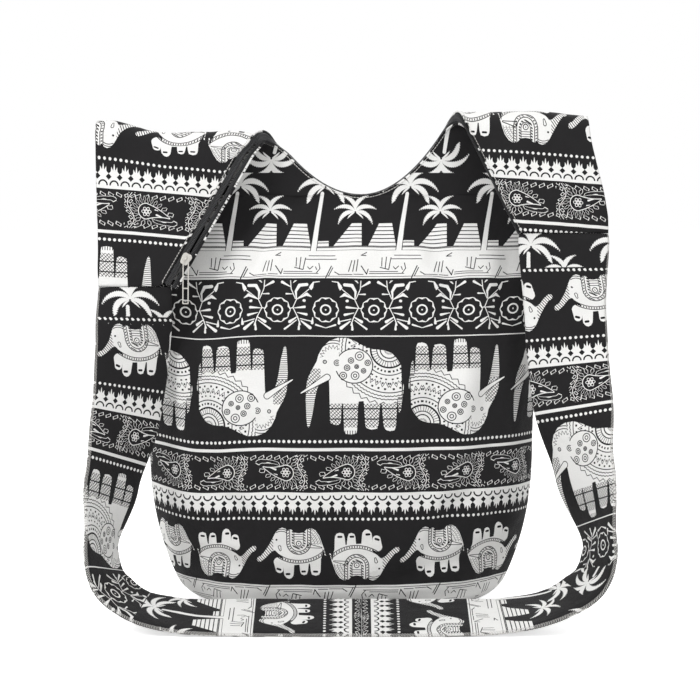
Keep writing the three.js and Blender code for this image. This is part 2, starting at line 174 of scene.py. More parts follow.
# centre, along (to the right arm), across (to the back panel) and out of the zip's chain
def chainFrame(side, p):
    def near(d):
        q = p + d
        if q >= 0:
            return chainCentre(side, q)
        return chainCentre("right" if side == "left" else "left", -q)
    s = sideSign[side]
    along = unitVector((near(0.05) - near(-0.05)) * s)
    turn = bandTurn(side, p)
    across = armLine(side, p)[1] * math.cos(turn)
    across[0] += s * math.sin(turn)
    across = unitVector(across - along * across.dot(along))
    return {"centre": chainCentre(side, p), "along": along, "across": across,
            "out": np.cross(along, across), "turn": turn}


def chainSpot(place, b, n):
    return place["centre"] + place["across"] * b + place["out"] * n


def evenColumns(count):
    fine = np.linspace(0, 1, 2001)
    halfWidth = 190      # these two only set how the columns are shared out
    halfDepth = 62
    steps = np.hypot(np.diff(fine) * halfWidth, np.diff(lens(fine)) * halfDepth)
    run = np.concatenate([[0], np.cumsum(steps)])
    return np.interp(np.linspace(0, run[-1], count), run, fine)


panelGrid = {
    "columns": 62,       # from the crest to a side seam
    "bodyRows": 118,
    "riseRows": 26,
    "foldRows": 22,
    "hangRows": 46,
}
columnParts = evenColumns(panelGrid["columns"])


def bodyRow(face, z, inset, across, heightAt=None):
    rows = []
    for side in ("left", "right"):
        s = sideSign[side]
        crest = crestAt(z)
        reach = halfWidthAt(z, side) - s * crest
        depth = halfDepthAt(z)
        f = columnParts
        x = crest + s * (reach - inset) * f
        y = face * (bagShape["gap"] / 2 + across * (depth - inset) * lens(f))
        rows.append(np.stack([x, y, np.full_like(f, z if heightAt is None else heightAt)], 1))
    return np.concatenate([rows[0][::-1], rows[1][1:]])


def armRow(face, side, p):
    f = columnParts
    s = sideSign[side]
    wall = bagShape["wall"]
    mid, out = armLine(side, p)
    place = chainFrame(side, p)
    half = lerp(bagShape["bandHalf"], bagShape["armHalf"], float(ease(p / topAt(side))))
    outerX = outerEdgeX(side, p)
    edge = chainSpot(place, face * bagShape["bandHalf"], 0)
    if face > 0:
        edgeInner = chainSpot(place, bagShape["bandHalf"] - wall * math.cos(place["turn"]),
                              -wall * math.sin(place["turn"]))
    else:
        edgeInner = chainSpot(place, wall - bagShape["bandHalf"], 0)
    width = abs(outerX - edge[0])
    reach = bagShape["lip"]
    if face < 0:
        reach = lerp(reach, bagShape["turnedLip"], math.sin(place["turn"]))
    lip = 1 - ease(f * width / reach)

    def layer(reachEnd, target, cut):
        flat = mid + out * (face * (bagShape["gap"] / 2 + (half - cut) * lens(f)))[:, None]
        flat[:, 0] = lerp(target[0], reachEnd, f)
        atEdge = mid + out * face * (bagShape["gap"] / 2 + half - cut)
        atEdge[0] = target[0]
        return flat + (target - atEdge) * lip[:, None]

    outer = layer(outerX, edge, 0)
    inner = layer(outerX - s * wall, edgeInner, wall)
    if side == "left":
        return outer[::-1], inner[::-1]
    return outer, inner


def runAlong(points, axis):
    steps = np.linalg.norm(np.diff(points, axis=axis), axis=2)
    shape = list(steps.shape)
    shape[axis] = 1
    return np.concatenate([np.zeros(shape), np.cumsum(steps, axis=axis)], axis=axis)


def gridNormals(points):
    across = np.gradient(points, axis=1)
    up = np.gradient(points, axis=0)
    n = np.cross(across, up)
    size = np.linalg.norm(n, axis=2, keepdims=True)
    return n / np.maximum(size, 1e-9)


# where each panel's print starts: the back one sits a little higher, and its two arms
# differ by the height of their folds; the bands sag a little beside the left seam
printPhase = {"front": 0.0, "back": 73.5, "armSlip": {"left": 6.0, "right": -6.0},
              "armTilt": {"left": 0.09, "right": 0.065},
              "sag": {"depth": 4.5, "at": -135.0, "width": 42.0,
                      "rise": 120.0, "from": 260.0, "fade": 140.0}}


def panelGrids(face):
    wall = bagShape["wall"]
    radius = bagShape["floorRound"]
    columns = panelGrid["columns"]
    outer = []
    inner = []
    for across in np.linspace(0, 1, 14)[:-1]:
        outer.append(bodyRow(face, 0, radius, across))
        inner.append(bodyRow(face, 0, radius, across, wall))
    under = len(outer)
    for turn in np.linspace(0, math.pi / 2, 11):
        cos = math.cos(turn)
        sin = math.sin(turn)
        outer.append(bodyRow(face, radius * (1 - cos), radius * (1 - sin), 1))
        inner.append(bodyRow(face, radius * (1 - cos), radius - (radius - wall) * sin, 1,
                             radius - (radius - wall) * cos))
    for part in np.linspace(0, 1, panelGrid["bodyRows"] + 1)[1:-1]:
        z = lerp(radius, bagShape["mouthHeight"], part)
        outer.append(bodyRow(face, z, 0, 1))
        inner.append(bodyRow(face, z, wall, 1))
    firsts = {side: armRow(face, side, 0) for side in sideSign}
    outer.append(np.concatenate([firsts["left"][0], firsts["right"][0][1:]]))
    inner.append(np.concatenate([firsts["left"][1], firsts["right"][1][1:]]))
    outer = np.array(outer)
    inner = np.array(inner)
    heights = runAlong(outer, 0)
    heights -= heights[under]
    middle = columns - 1
    widths = runAlong(outer, 1)
    widths -= widths[:, middle:middle + 1]
    widths += outer[:, middle:middle + 1, 0]
    phase = printPhase["front"] if face < 0 else printPhase["back"]
    level = heights[:, middle:middle + 1]
    dip = printPhase["sag"]
    sag = dip["depth"] * np.exp(-((widths - dip["at"]) / dip["width"]) ** 2)
    sag = sag * ease(level / dip["rise"]) * (1 - ease((level - dip["from"]) / dip["fade"]))
    v = lerp(level, heights, 0.1) + sag + phase
    sense = -1 if face > 0 else 1
    grids = [{"name": "body", "outer": outer, "inner": inner, "u": sense * widths, "v": v}]
    for side in ("left", "right"):
        steps = [riseLength(side) * (i / panelGrid["riseRows"]) ** 2
                 for i in range(panelGrid["riseRows"] + 1)]
        steps += [riseLength(side) + arcLength * i / panelGrid["foldRows"]
                  for i in range(1, panelGrid["foldRows"] + 1)]
        steps += [riseLength(side) + arcLength + bagShape["hangLength"][side] * i / panelGrid["hangRows"]
                  for i in range(1, panelGrid["hangRows"] + 1)]
        rows = [armRow(face, side, p) for p in steps]
        armOuter = np.array([row[0] for row in rows])
        armInner = np.array([row[1] for row in rows])
        span = runAlong(armOuter, 1)
        if side == "left":
            span -= span[:, -1:]
            span += np.array([mouthEdgeX(side, p) for p in steps])[:, None]
            start = v[-1, :columns]
        else:
            span += np.array([mouthEdgeX(side, p) for p in steps])[:, None]
            start = v[-1, columns - 1:]
        slip = printPhase["armSlip"][side] if face > 0 else 0
        climb = np.array(steps)
        armV = start[None, :] + climb[:, None] + slip * ease(climb / topAt(side))[:, None]
        if face > 0:
            tilt = printPhase["armTilt"][side] * (armOuter[:, :, 0] - 0.75 * outerEdgeX(side, 0))
            armV = armV - tilt * ease(climb / topAt(side))[:, None]
        grids.append({"name": side, "outer": armOuter, "inner": armInner, "u": sense * span, "v": armV,
                      "steps": climb})
    return grids


# each UV layer's places come one for each point, or one for each corner of a face
def newPiece(name, points, faces, layers, smooth=True):
    mesh = bpy.data.meshes.new(name)
    mesh.from_pydata(inFrame(points).tolist(), [], faces)
    mesh.update()
    loops = np.zeros(len(mesh.loops), int)
    mesh.loops.foreach_get("vertex_index", loops)
    for layerName, places in layers.items():
        flat = np.array(places, float) * 0.001
        if len(flat) == len(points):
            flat = flat[loops]
        mesh.uv_layers.new(name=layerName).data.foreach_set("uv", flat.ravel())
    mesh.polygons.foreach_set("use_smooth", [smooth] * len(mesh.polygons))
    piece = bpy.data.objects.new(name, mesh)
    bpy.context.scene.collection.objects.link(piece)
    return piece


# a panel's outer and inner cloth, sewn shut along every free edge
def clothMesh(name, grids, flip):
    keys = {}
    outer = []
    inner = []
    uv = []
    rim = []
    quads = []
    for grid in grids:
        rows, columns = grid["outer"].shape[:2]
        ids = np.zeros((rows, columns), int)
        for i in range(rows):
            for j in range(columns):
                key = tuple(np.round(grid["base"][i, j] * 500).astype(int))
                if key not in keys:
                    keys[key] = len(outer)
                    outer.append(grid["outer"][i, j])
                    inner.append(grid["inner"][i, j])
                    uv.append((grid["u"][i, j], grid["v"][i, j]))
                    rim.append(grid["rim"][i, j])
                ids[i, j] = keys[key]
        for i in range(rows - 1):
            for j in range(columns - 1):
                quad = [ids[i, j], ids[i, j + 1], ids[i + 1, j + 1], ids[i + 1, j]]
                corners = []
                for corner in quad:
                    if corner not in corners:
                        corners.append(int(corner))
                if len(corners) > 2:
                    quads.append(corners[::-1] if flip else corners)
    count = len(outer)
    edges = {}
    for quad in quads:
        for a, b in zip(quad, quad[1:] + quad[:1]):
            if (b, a) in edges:
                del edges[(b, a)]
            else:
                edges[(a, b)] = True
    faces = list(quads)
    faces += [[corner + count for corner in quad[::-1]] for quad in quads]
    faces += [[b, a, a + count, b + count] for a, b in edges]
    return newPiece(name, outer + inner, faces, {"fabric": uv * 2, "rim": rim * 2})


# soft folds pressed out of the panels, in millimetres; a crease runs from one point
# to another across the front or the back
foldShape = {
    "swell": 3.2,
    "ripple": 1.1,
    "depth": 1.7,
    "cornerLift": 7.0,     # how far the left fold's outer corner stands up
    "middleSink": 6.5,     # how far that fold's middle sinks, only above the slider's way
    "sinkBand": 24.0,
    "rightWave": 0.8,
    "creases": {
        -1: [(-40, 392, -118, 262, 9, -1.9), (70, 380, 128, 250, 10, -1.8), (-150, 330, -120, 120, 10, -2.0),
             (158, 330, 128, 150, 11, -2.2), (-150, 150, -60, 60, 12, -1.5), (150, 160, 66, 40, 12, -1.7),
             (20, 300, 6, 150, 15, -1.0), (-80, 250, -66, 100, 13, -1.1), (92, 240, 74, 90, 12, -1.2),
             (-168, 60, -40, 34, 9, -1.5), (168, 62, 30, 30, 9, -1.4), (-20, 110, 60, 60, 12, 1.0)],
        1: [(-60, 380, -120, 200, 11, -2.2), (80, 380, 120, 200, 11, -2.0), (0, 330, 10, 120, 14, -1.6),
            (-150, 200, -80, 50, 12, -1.8), (150, 200, 80, 50, 12, -1.8)],
    },
}


def smoothNoise(points, sizes, seed):
    flat = points.reshape(-1, 3) / np.array(sizes)
    values = [noise.noise(Vector((p[0] + seed, p[1], p[2] - seed))) for p in flat]
    return np.array(values).reshape(points.shape[:-1])


def creaseDepth(points, face):
    x, z = points[..., 0], points[..., 2]
    total = np.zeros_like(x)
    for x0, z0, x1, z1, width, depth in foldShape["creases"][face]:
        size = (x1 - x0) ** 2 + (z1 - z0) ** 2
        part = ((x - x0) * (x1 - x0) + (z - z0) * (z1 - z0)) / size
        inside = np.clip(part, 0, 1)
        away = np.hypot(x - x0 - inside * (x1 - x0), z - z0 - inside * (z1 - z0))
        bend = away / width
        hollow = np.exp(-bend ** 2) - 0.45 * np.exp(-(bend - 1.7) ** 2)
        total += depth * hollow * np.sin(np.pi * np.clip(0.08 + 0.84 * inside, 0, 1)) ** 0.7
    return total * foldShape["depth"]


# how near a point is to a fold's top, 0 to 1, over a band below that top
def nearTop(points, side, band):
    return ease((points[..., 2] - (foldHeight(side) - band)) / band)


# the left fold's outer corner stands up and its middle sinks; the right fold waves a little
def liftCorner(points):
    x = points[..., 0]
    raised = points.copy()
    far = ease((-x - 150) / 75)
    raised[..., 2] += foldShape["cornerLift"] * far * nearTop(points, "left", 60)
    sunk = ease((x + 232) / 75) * ease((20 - x) / 60)
    raised[..., 2] -= foldShape["middleSink"] * sunk * nearTop(points, "left", foldShape["sinkBand"])
    sag = ease((x - 60) / 100) * nearTop(points, "right", 30)
    raised[..., 2] -= foldShape["rightWave"] * np.sin(x / 17.0) * sag
    return raised


def mouthLine(face):
    points = []
    for side in ("left", "right"):
        steps = np.arange(0, armLength(side), 0.5)
        fine = np.concatenate([np.linspace(0, 1, 40, endpoint=False) ** 2, steps[2:], [armLength(side)]])
        edge = [chainSpot(chainFrame(side, p), face * bagShape["bandHalf"], 0) for p in fine]
        points.append(edge[::-1] if side == "left" else edge[1:])
    points = np.array(points[0] + points[1])
    run = np.concatenate([[0], np.cumsum(np.linalg.norm(np.diff(points, axis=0), axis=1))])
    return points, run


def nearestOnLine(points, line, run):
    flat = points.reshape(-1, 3)
    away = np.zeros(len(flat))
    along = np.zeros(len(flat))
    for start in range(0, len(flat), 1500):
        part = flat[start:start + 1500]
        gaps = np.linalg.norm(part[:, None] - line[None], axis=2)
        index = gaps.argmin(1)
        away[start:start + 1500] = gaps.min(1)
        along[start:start + 1500] = run[index]
    return away.reshape(points.shape[:-1]), along.reshape(points.shape[:-1])


def crumplePanel(grids, face):
    line, run = mouthLine(face)
    for grid in grids:
        base = grid["outer"].copy()
        grid["base"] = base
        away, along = nearestOnLine(base, line, run)
        grid["rim"] = np.stack([away, along], -1)
        free = ease(away / 22)
        n = gridNormals(base) * -face
        if grid["name"] == "body":
            z = base[..., 2]
            seam = np.minimum(np.abs(base[..., 0] - base[:, :1, 0]), np.abs(base[..., 0] - base[:, -1:, 0]))
            free = free * ease((z - 6) / 30) * ease(seam / 16)
            push = foldShape["swell"] * smoothNoise(base, (38, 60, 88), 3.7 * face)
            push += foldShape["ripple"] * smoothNoise(base, (13, 30, 30), 9.1 * face)
            push += creaseDepth(base, face)
            pucker = np.sin(z * 2 * np.pi / 11.0 + np.sin(z / 17.0) * 2)
            edge = ease(seam / 2.5) * (1 - ease(seam / 13)) * ease((z - 24) / 20)
            push = push * free + 0.42 * pucker * edge
        elif face > 0:
            end = grid["steps"][-1] - grid["steps"]
            free = free * ease(end / 16)[:, None] * ease(grid["steps"] / 24)[:, None]
            push = 1.5 + 1.5 * smoothNoise(base, (30, 40, 46), 21.0 + len(grid["name"]))
            push += 0.8 * smoothNoise(base, (11, 20, 18), 5.0)
            pleats = np.exp(-((end[:, None] - 5) / 9) ** 2) * np.sin(base[..., 0] / 3.1) * 0.5
            hem = (pleats + 0.5) * ease(end / 4)[:, None] * ease(away / 14)
            push = push * free + hem * (1 - ease(end / 26))[:, None]
        else:
            push = np.zeros_like(away)
        move = n * push[..., None]
        grid["outer"] = liftCorner(base + move)
        grid["inner"] = liftCorner(grid["inner"] + move)


def buildPanel(name, face):
    grids = panelGrids(face)
    crumplePanel(grids, face)
    piece = clothMesh(name, grids, face > 0)
    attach(piece, "bag")
    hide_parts(name.replace("Cloth", "_panel"))
    return piece


strapShape = {
    "width": 76.0,
    "thickness": 6.4,
    "rise": 8.0,          # rear edge of the stretch on the floor, up
    "clear": 7.0,         # that edge from the body's front
    "stations": 240,
}


# the strap's stations: a place, the way across it and its width
def strapStations(side):
    s = sideSign[side]
    half = strapShape["width"] / 2
    lean = bagShape["armLean"]
    endMid = armLine(side, armLength(side))[0]
    down = np.array([0.0, -math.sin(lean), -math.cos(lean)])
    inner = bagShape["armEndInner"][side]
    outer = bagShape["armEndOuter"][side]
    startX = s * (inner + outer) / 2
    start = endMid + down * 2 * bagShape["gap"]
    floorY = -(bagShape["bodyDepth"] / 2 + strapShape["clear"] + half * 0.98)
    lift = math.asin(strapShape["rise"] / half)
    floorZ = half * math.sin(lift) + 1.25
    spread = 0 if side == "left" else 14
    turns = (32, 40, 56, 76) if side == "left" else (10, 18, 50, 76)

    def high(part):
        return lerp(floorZ + 60, start[2], part)

    def ahead(part):
        return lerp(start[1], floorY, part)

    def point(x, y, z):
        return np.array([x, y, z], float)

    first = point(startX, start[1], start[2])
    near = s * (bodyHalf + 14 + spread)
    mid = s * (bodyHalf + 20 + spread)
    hanging = [
        (first, 0, outer - inner),
        (first + down * 8, 4, outer - inner + 1),
        (point(lerp(startX, near, 0.3), ahead(0.1), high(0.74)), turns[0], 2 * half),
        (point(lerp(startX, mid, 0.6), ahead(0.26), high(0.5)), turns[1], 2 * half),
        (point(s * (bodyHalf + 27 + spread), ahead(0.48), high(0.24)), turns[2], 2 * half),
        (point(s * (bodyHalf + 35 + spread * 1.3), ahead(0.74), high(0)), turns[3], 2 * half),
    ]
    flat = point(0, math.cos(lift), math.sin(lift))
    centre = bagShape["mouthCentre"]
    lying = [
        (point(s * (bodyHalf + 26 + spread * 1.1), ahead(0.9), floorZ + 31),
         point(-s * 0.16, 0.97, 0.14)),
        (point(s * (bodyHalf + 3 + spread * 0.6), ahead(0.98), floorZ + 12),
         point(-s * 0.1, 0.97, 0.12)),
        (point(s * (bodyHalf - 34 + spread * 0.3), floorY, floorZ + 2.4), point(0, 0.98, 0.17)),
        (point(lerp(s * (bodyHalf - 28), centre, 0.5), floorY, floorZ), flat),
        (point(centre + s * bagShape["gap"] / 2, floorY, floorZ), flat),
    ]
    stations = []
    for at, turn, width in hanging:
        a = math.radians(turn)
        stations.append((at, point(-s * math.cos(a), math.sin(a), 0), width))
    for at, across in lying:
        stations.append((at, across, 2 * half))
    return stations, down


def splinePoint(points, t):
    last = len(points) - 1
    k = min(int(last * t), last - 1)
    weight = last * t - k
    p1, p2 = points[k], points[k + 1]
    p0 = points[k - 1] if k > 0 else 2 * points[0] - points[1]
    p3 = points[k + 2] if k + 2 <= last else 2 * points[last] - points[last - 1]
    gaps = [max(np.linalg.norm(b - a) ** 0.5, 1e-4) for a, b in ((p0, p1), (p1, p2), (p2, p3))]
    t1 = ((p1 - p0) / gaps[0] - (p2 - p0) / (gaps[0] + gaps[1]) + (p2 - p1) / gaps[1]) * gaps[1]
    t2 = ((p2 - p1) / gaps[1] - (p3 - p1) / (gaps[1] + gaps[2]) + (p3 - p2) / gaps[2]) * gaps[1]
    c2 = -3 * p1 + 3 * p2 - 2 * t1 - t2
    c3 = 2 * p1 - 2 * p2 + t1 + t2
    return p1 + t1 * weight + c2 * weight ** 2 + c3 * weight ** 3


def strapFrames(side):
    stations, down = strapStations(side)
    s = sideSign[side]
    points = [at for at, _, _ in stations]
    last = len(stations) - 1
    count = strapShape["stations"]
    frames = []
    for i in range(count + 1):
        t = i / count
        k = min(last - 1, int(t * last))
        mixed = float(ease(t * last - k))
        centre = splinePoint(points, t)
        along = unitVector(splinePoint(points, min(1, t + 1e-4)) - splinePoint(points, max(0, t - 1e-4)))
        if i == 0:
            along = down
        if i == count:
            along = np.array([-s, 0.0, 0.0])
        across = lerp(stations[k][1], stations[k + 1][1], mixed)
        across = unitVector(across - along * across.dot(along))
        up = np.cross(along, across) * s
        width = lerp(stations[k][2], stations[k + 1][2], mixed) / 2
        frames.append({"centre": centre, "along": along, "across": across, "up": up, "half": width})
    run = 0.0
    for i, place in enumerate(frames):
        if i:
            run += np.linalg.norm(place["centre"] - frames[i - 1]["centre"])
        place["run"] = run
    return frames


strapCurve = [(1, 0.0), (0.985, 0.42), (0.94, 0.7), (0.86, 0.85), (0.72, 0.93), (0.5, 0.98), (0.25, 1)]
strapProfile = [(-w, h) for w, h in strapCurve] + [(0, 1)] + strapCurve[:0:-1]
# print height along each strap half, from its run; each half is cut from lengths of
# cloth joined by seams, and both meet at the centre seam; "shift" slides it sideways
strapPrint = {
    "left": {"palms": 26.0, "start": 14.0, "centre": 140.0, "seam": 312.0, "shift": -58.0},
    "right": {"palms": 30.0, "start": 10.0, "centre": 140.0, "seam": 312.0, "shift": -12.0},
}


def strapHeight(side, run, total):
    phase = strapPrint[side]
    if run < phase["palms"]:
        return 437.0 + run
    if run < phase["palms"] + 7:
        return 103.4 + run - phase["palms"]
    if run < phase["seam"]:
        return phase["start"] + run
    return phase["centre"] + printRows["repeat"] + run - total


def buildStrap(name, side):
    frames = strapFrames(side)
    s = sideSign[side]
    total = frames[-1]["run"]
    seam = strapPrint[side]["seam"]
    ring = strapProfile + [(-w, -h) for w, h in strapProfile]
    sides = len(ring)
    stops = [place["run"] for place in frames]
    nearest = int(np.argmin([abs(stop - seam) for stop in stops]))
    strapPrint[side]["seam"] = stops[nearest]
    points = []
    for i, place in enumerate(frames):
        run = place["run"]
        ends = min(run, total - run)
        atSeam = math.exp(-(abs(run - stops[nearest]) / 2.2) ** 2)
        waist = 1 - 0.2 * atSeam - 0.2 * math.exp(-((total - run) / 2.2) ** 2)
        for j, (w, h) in enumerate(ring):
            at = place["centre"] + place["across"] * w * place["half"]
            bump = 0.9 * noise.noise(Vector((w * 2.2 + 7 * s, run / 24.0, 1.0 if h > 0 else 5.0)))
            bump += 0.35 * noise.noise(Vector((w * 6.0, run / 9.0, 9.0 if h > 0 else 15.0)))
            fade = float(ease(ends / 14)) * (1 - w * w) ** 0.5 if abs(w) < 1 else 0.0
            lift = h * strapShape["thickness"] / 2 * waist + bump * fade
            at = at + place["up"] * lift
            at[2] = max(at[2], 0.25)
            points.append(at)
    faces = []
    cloth = []
    rim = []
    for i in range(len(frames) - 1):
        top = strapHeight(side, stops[i] + 1e-4, total)
        step = stops[i + 1] - stops[i]
        half = frames[i]["half"]
        for j in range(sides):
            a = i * sides + j
            b = i * sides + (j + 1) % sides
            wa = ring[j][0]
            wb = ring[(j + 1) % sides][0]
            if j >= sides // 2:
                wa = 2 - wa
                wb = 2 - wb if j < sides - 1 else 3.0
            if j == sides // 2 - 1:
                wb = 1.0
            corners = [(a, wa, 0), (b, wb, 0), (b + sides, wb, step), (a + sides, wa, step)]
            if s < 0:
                corners.reverse()
            faces.append([corner[0] for corner in corners])
            for index, w, forward in corners:
                cloth.append((strapPrint[side]["shift"] - s * w * half, top + forward))
                edge = min(abs(w + 1), abs(3 - w)) * half
                other = abs(w - 1) * half
                seamGap = min(abs(stops[i] + forward - seam), total - stops[i] - forward)
                rim.append((edge if edge < other else 400 + other, seamGap))
    first = list(range(sides))
    last = [len(points) - sides + j for j in range(sides)]
    for cap in (first[::-1] if s > 0 else first, last if s > 0 else last[::-1]):
        faces.append(cap)
        cloth += [(0, 0)] * sides
        rim += [(200, 200)] * sides
    piece = newPiece(name, points, faces, {"fabric": cloth, "rim": rim})
    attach(piece, "bag")
    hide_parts("strap_" + side)
    return piece, frames


zipShape = {
    "pitch": 1.37,         # between the coil's turns
    "inner": 0.75,         # half of the slot the slider's post runs in
    "outer": 3.42,
    "tapeTop": -0.7,
    "tapeFoot": -1.3,
    "sliderFromEnd": 25.0,
    "sliderTravel": 100.0,
}


def chainStations(spacing):
    reach = {side: armLength(side) for side in sideSign}
    fine = np.concatenate([-np.linspace(reach["left"], 1, 900), -np.linspace(1, 0, 60, endpoint=False) ** 2,
                           np.linspace(0, 1, 60) ** 2, np.linspace(1, reach["right"], 900)[1:]])
    points = np.array([chainCentre("left" if q < 0 else "right", abs(q)) for q in fine])
    run = np.concatenate([[0], np.cumsum(np.linalg.norm(np.diff(points, axis=0), axis=1))])
    count = int(run[-1] / spacing)
    steps = np.interp(np.linspace(0, run[-1], count + 1), run, fine)
    return [(q, chainFrame("left" if q < 0 else "right", abs(q))) for q in steps]


def ringFaces(count, sides, start):
    faces = []
    for i in range(count - 1):
        for j in range(sides):
            a = start + i * sides + j
            b = start + i * sides + (j + 1) % sides
            faces.append([a, b, b + sides, a + sides])
    faces.append([start + j for j in range(sides)][::-1])
    faces.append([start + (count - 1) * sides + j for j in range(sides)])
    return faces


# one coil row: a rounded bar for each turn, with a wider head where the rows lock
def buildCoil(name, node, face):
    points = []
    faces = []
    locked = armLength("left") - zipShape["sliderFromEnd"] - zipShape["sliderTravel"] - 12
    for k, (q, place) in enumerate(chainStations(zipShape["pitch"] / 2)):
        if (k % 2 == 0) == (face > 0) or k < 2:
            continue
        free = q < -locked
        head = zipShape["inner"] + 0.02 if free else -0.5
        rings = [(zipShape["outer"], 0.42, 0.26, 0.30), (zipShape["outer"] - 0.35, 0.6, 0.3, 0.66),
                 (2.3, 0.62, 0.3, 0.76), (head + 0.75, 0.64, 0.3, 0.76), (head + 0.36, 0.6, 0.36, 0.7),
                 (head, 0.52, 0.2, 0.36)]
        start = len(points)
        for b, n, wide, tall in rings:
            for j in range(8):
                a = j * math.pi / 4
                along = wide * math.cos(a) * (1 if abs(math.cos(a)) > 0.8 else 1.1)
                up = n + tall * math.sin(a)
                points.append(chainSpot(place, face * b, up) + place["along"] * along * face)
        faces += ringFaces(len(rings), 8, start)
    piece = newPiece(name, liftCorner(np.array(points)), [quad[::-1] for quad in faces], {})
    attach(piece, "bag")
    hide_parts(node)
    return piece


def buildTape(name, node, face):
    points = []
    uv = []
    stations = chainStations(1.8)
    for q, place in stations:
        wall = bagShape["wall"]
        if face > 0:
            wall = wall * math.cos(place["turn"]) + 0.3
        else:
            wall = wall + 0.4 * math.sin(place["turn"])
        edge = bagShape["bandHalf"] - wall - 0.08
        top, foot = zipShape["tapeTop"], zipShape["tapeFoot"]
        section = [(1, foot), (edge, foot), (edge, top), (edge - 0.25, top + 0.12),
                   (3.75, top + 0.04), (3.5, top), (1, top)]
        for b, n in section:
            points.append(chainSpot(place, face * b, n))
            uv.append((face * b, 0))
    run = 0.0
    last = None
    for i, (q, place) in enumerate(stations):
        if last is not None:
            run += float(np.linalg.norm(place["centre"] - last))
        last = place["centre"]
        for j in range(7):
            uv[i * 7 + j] = (uv[i * 7 + j][0], run)
    faces = ringFaces(len(stations), 7, 0)
    if face > 0:
        faces = [quad[::-1] for quad in faces]
    piece = newPiece(name, liftCorner(np.array(points)), faces, {"weave": uv}, smooth=False)
    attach(piece, "bag")
    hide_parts(node)
    return piece


def feed(tree, slot, item):
    if isinstance(item, Value):
        item = item.socket
    if isinstance(item, bpy.types.NodeSocket):
        tree.links.new(item, slot)
    elif item is not None:
        slot.default_value = item


# the band print is worked out in millimetres of cloth; a Value is one number along the way
class Value:
    def __init__(self, tree, socket):
        self.tree = tree
        self.socket = socket

    def math(self, operation, *others):
        node = self.tree.nodes.new("ShaderNodeMath")
        node.operation = operation
        for slot, other in zip(node.inputs, (self,) + others):
            feed(self.tree, slot, other)
        return Value(self.tree, node.outputs[0])

    def __add__(self, other):
        return self.math("ADD", other)

    def __sub__(self, other):
        return self.math("SUBTRACT", other)

    def __rsub__(self, other):
        return self.math("MULTIPLY_ADD", -1.0, other)

    def __mul__(self, other):
        return self.math("MULTIPLY", other)

    def __truediv__(self, other):
        return self.math("DIVIDE", other)

    def __abs__(self):
        return self.math("ABSOLUTE")

    def below(self, limit):
        return self.math("LESS_THAN", limit)

    def above(self, limit):
        return self.math("GREATER_THAN", limit)

    def least(self, other):
        return self.math("MINIMUM", other)

    def most(self, other):
        return self.math("MAXIMUM", other)

    def __or__(self, other):
        return self.math("MAXIMUM", other)

    def timesPlus(self, factor, extra):
        return self.math("MULTIPLY_ADD", factor, extra)

    def modulo(self, period):
        return self.math("FLOORED_MODULO", period)

    def fraction(self):
        return self.math("FRACT")

    def beat(self):            # 0 to 0.5 and back, once in every whole step
        return abs(self.fraction() - 0.5)

    def without(self, other):
        return self.math("GREATER_THAN", other)

    def clamped(self):
        node = self.tree.nodes.new("ShaderNodeClamp")
        self.tree.links.new(self.socket, node.inputs[0])
        return Value(self.tree, node.outputs[0])

    def wrapped(self, period, middle=0.0):
        return (self - (middle - period / 2)).math("FLOORED_MODULO", period) - period / 2

    def nearLine(self, at, half):
        return abs(self - at).below(half)

    def between(self, low, high):
        return self.nearLine((low + high) / 2, (high - low) / 2)


def spot(x, y):
    node = x.tree.nodes.new("ShaderNodeCombineXYZ")
    x.tree.links.new(x.socket, node.inputs[0])
    x.tree.links.new(y.socket, node.inputs[1])
    return Value(x.tree, node.outputs[0])


def vectorMath(operation, first, second=None):
    node = first.tree.nodes.new("ShaderNodeVectorMath")
    node.operation = operation
    for slot, item in zip(node.inputs, (first, second)):
        feed(first.tree, slot, item)
    scalar = operation in ("LENGTH", "DISTANCE", "DOT_PRODUCT")
    return Value(first.tree, node.outputs["Value" if scalar else "Vector"])


def distanceTo(place, x, y):
    return vectorMath("DISTANCE", place, (x, y, 0))


def scaled(amount, x, y):
    node = amount.tree.nodes.new("ShaderNodeVectorMath")
    node.operation = "SCALE"
    node.inputs[0].default_value = (x, y, 0)
    amount.tree.links.new(amount.socket, node.inputs["Scale"])
    return Value(amount.tree, node.outputs[0])


# distance to a straight stroke, which may taper, less its half width
def stroke(place, x0, y0, x1, y1, half, endHalf=None):
    bx, by = x1 - x0, y1 - y0
    size = max(bx * bx + by * by, 1e-9)
    offset = vectorMath("SUBTRACT", place, (x0, y0, 0))
    part = vectorMath("DOT_PRODUCT", offset, (bx / size, by / size, 0)).clamped()
    d = vectorMath("DISTANCE", offset, scaled(part, bx, by))
    if endHalf is None or endHalf == half:
        return d - half
    return part.math("MULTIPLY_ADD", half - endHalf, d) - half


def strokes(place, rows):
    found = None
    for row in rows:
        d = stroke(place, *row)
        found = d if found is None else found.least(d)
    return found


# a line drawn through points, read at x
def drawnCurve(x, low, high, points, base, height):
    part = (x - low) / (high - low)
    node = x.tree.nodes.new("ShaderNodeFloatCurve")
    curve = node.mapping.curves[0]
    node.mapping.use_clip = False
    flat = [((px - low) / (high - low), (py - base) / height) for px, py in points]
    curve.points[0].location = flat[0]
    curve.points[1].location = flat[-1]
    for location in flat[1:-1]:
        curve.points.new(*location)
    for point in curve.points:
        point.handle_type = "VECTOR"
    node.mapping.update()
    x.tree.links.new(part.socket, node.inputs["Value"])
    return Value(x.tree, node.outputs[0]).math("MULTIPLY_ADD", height, base)


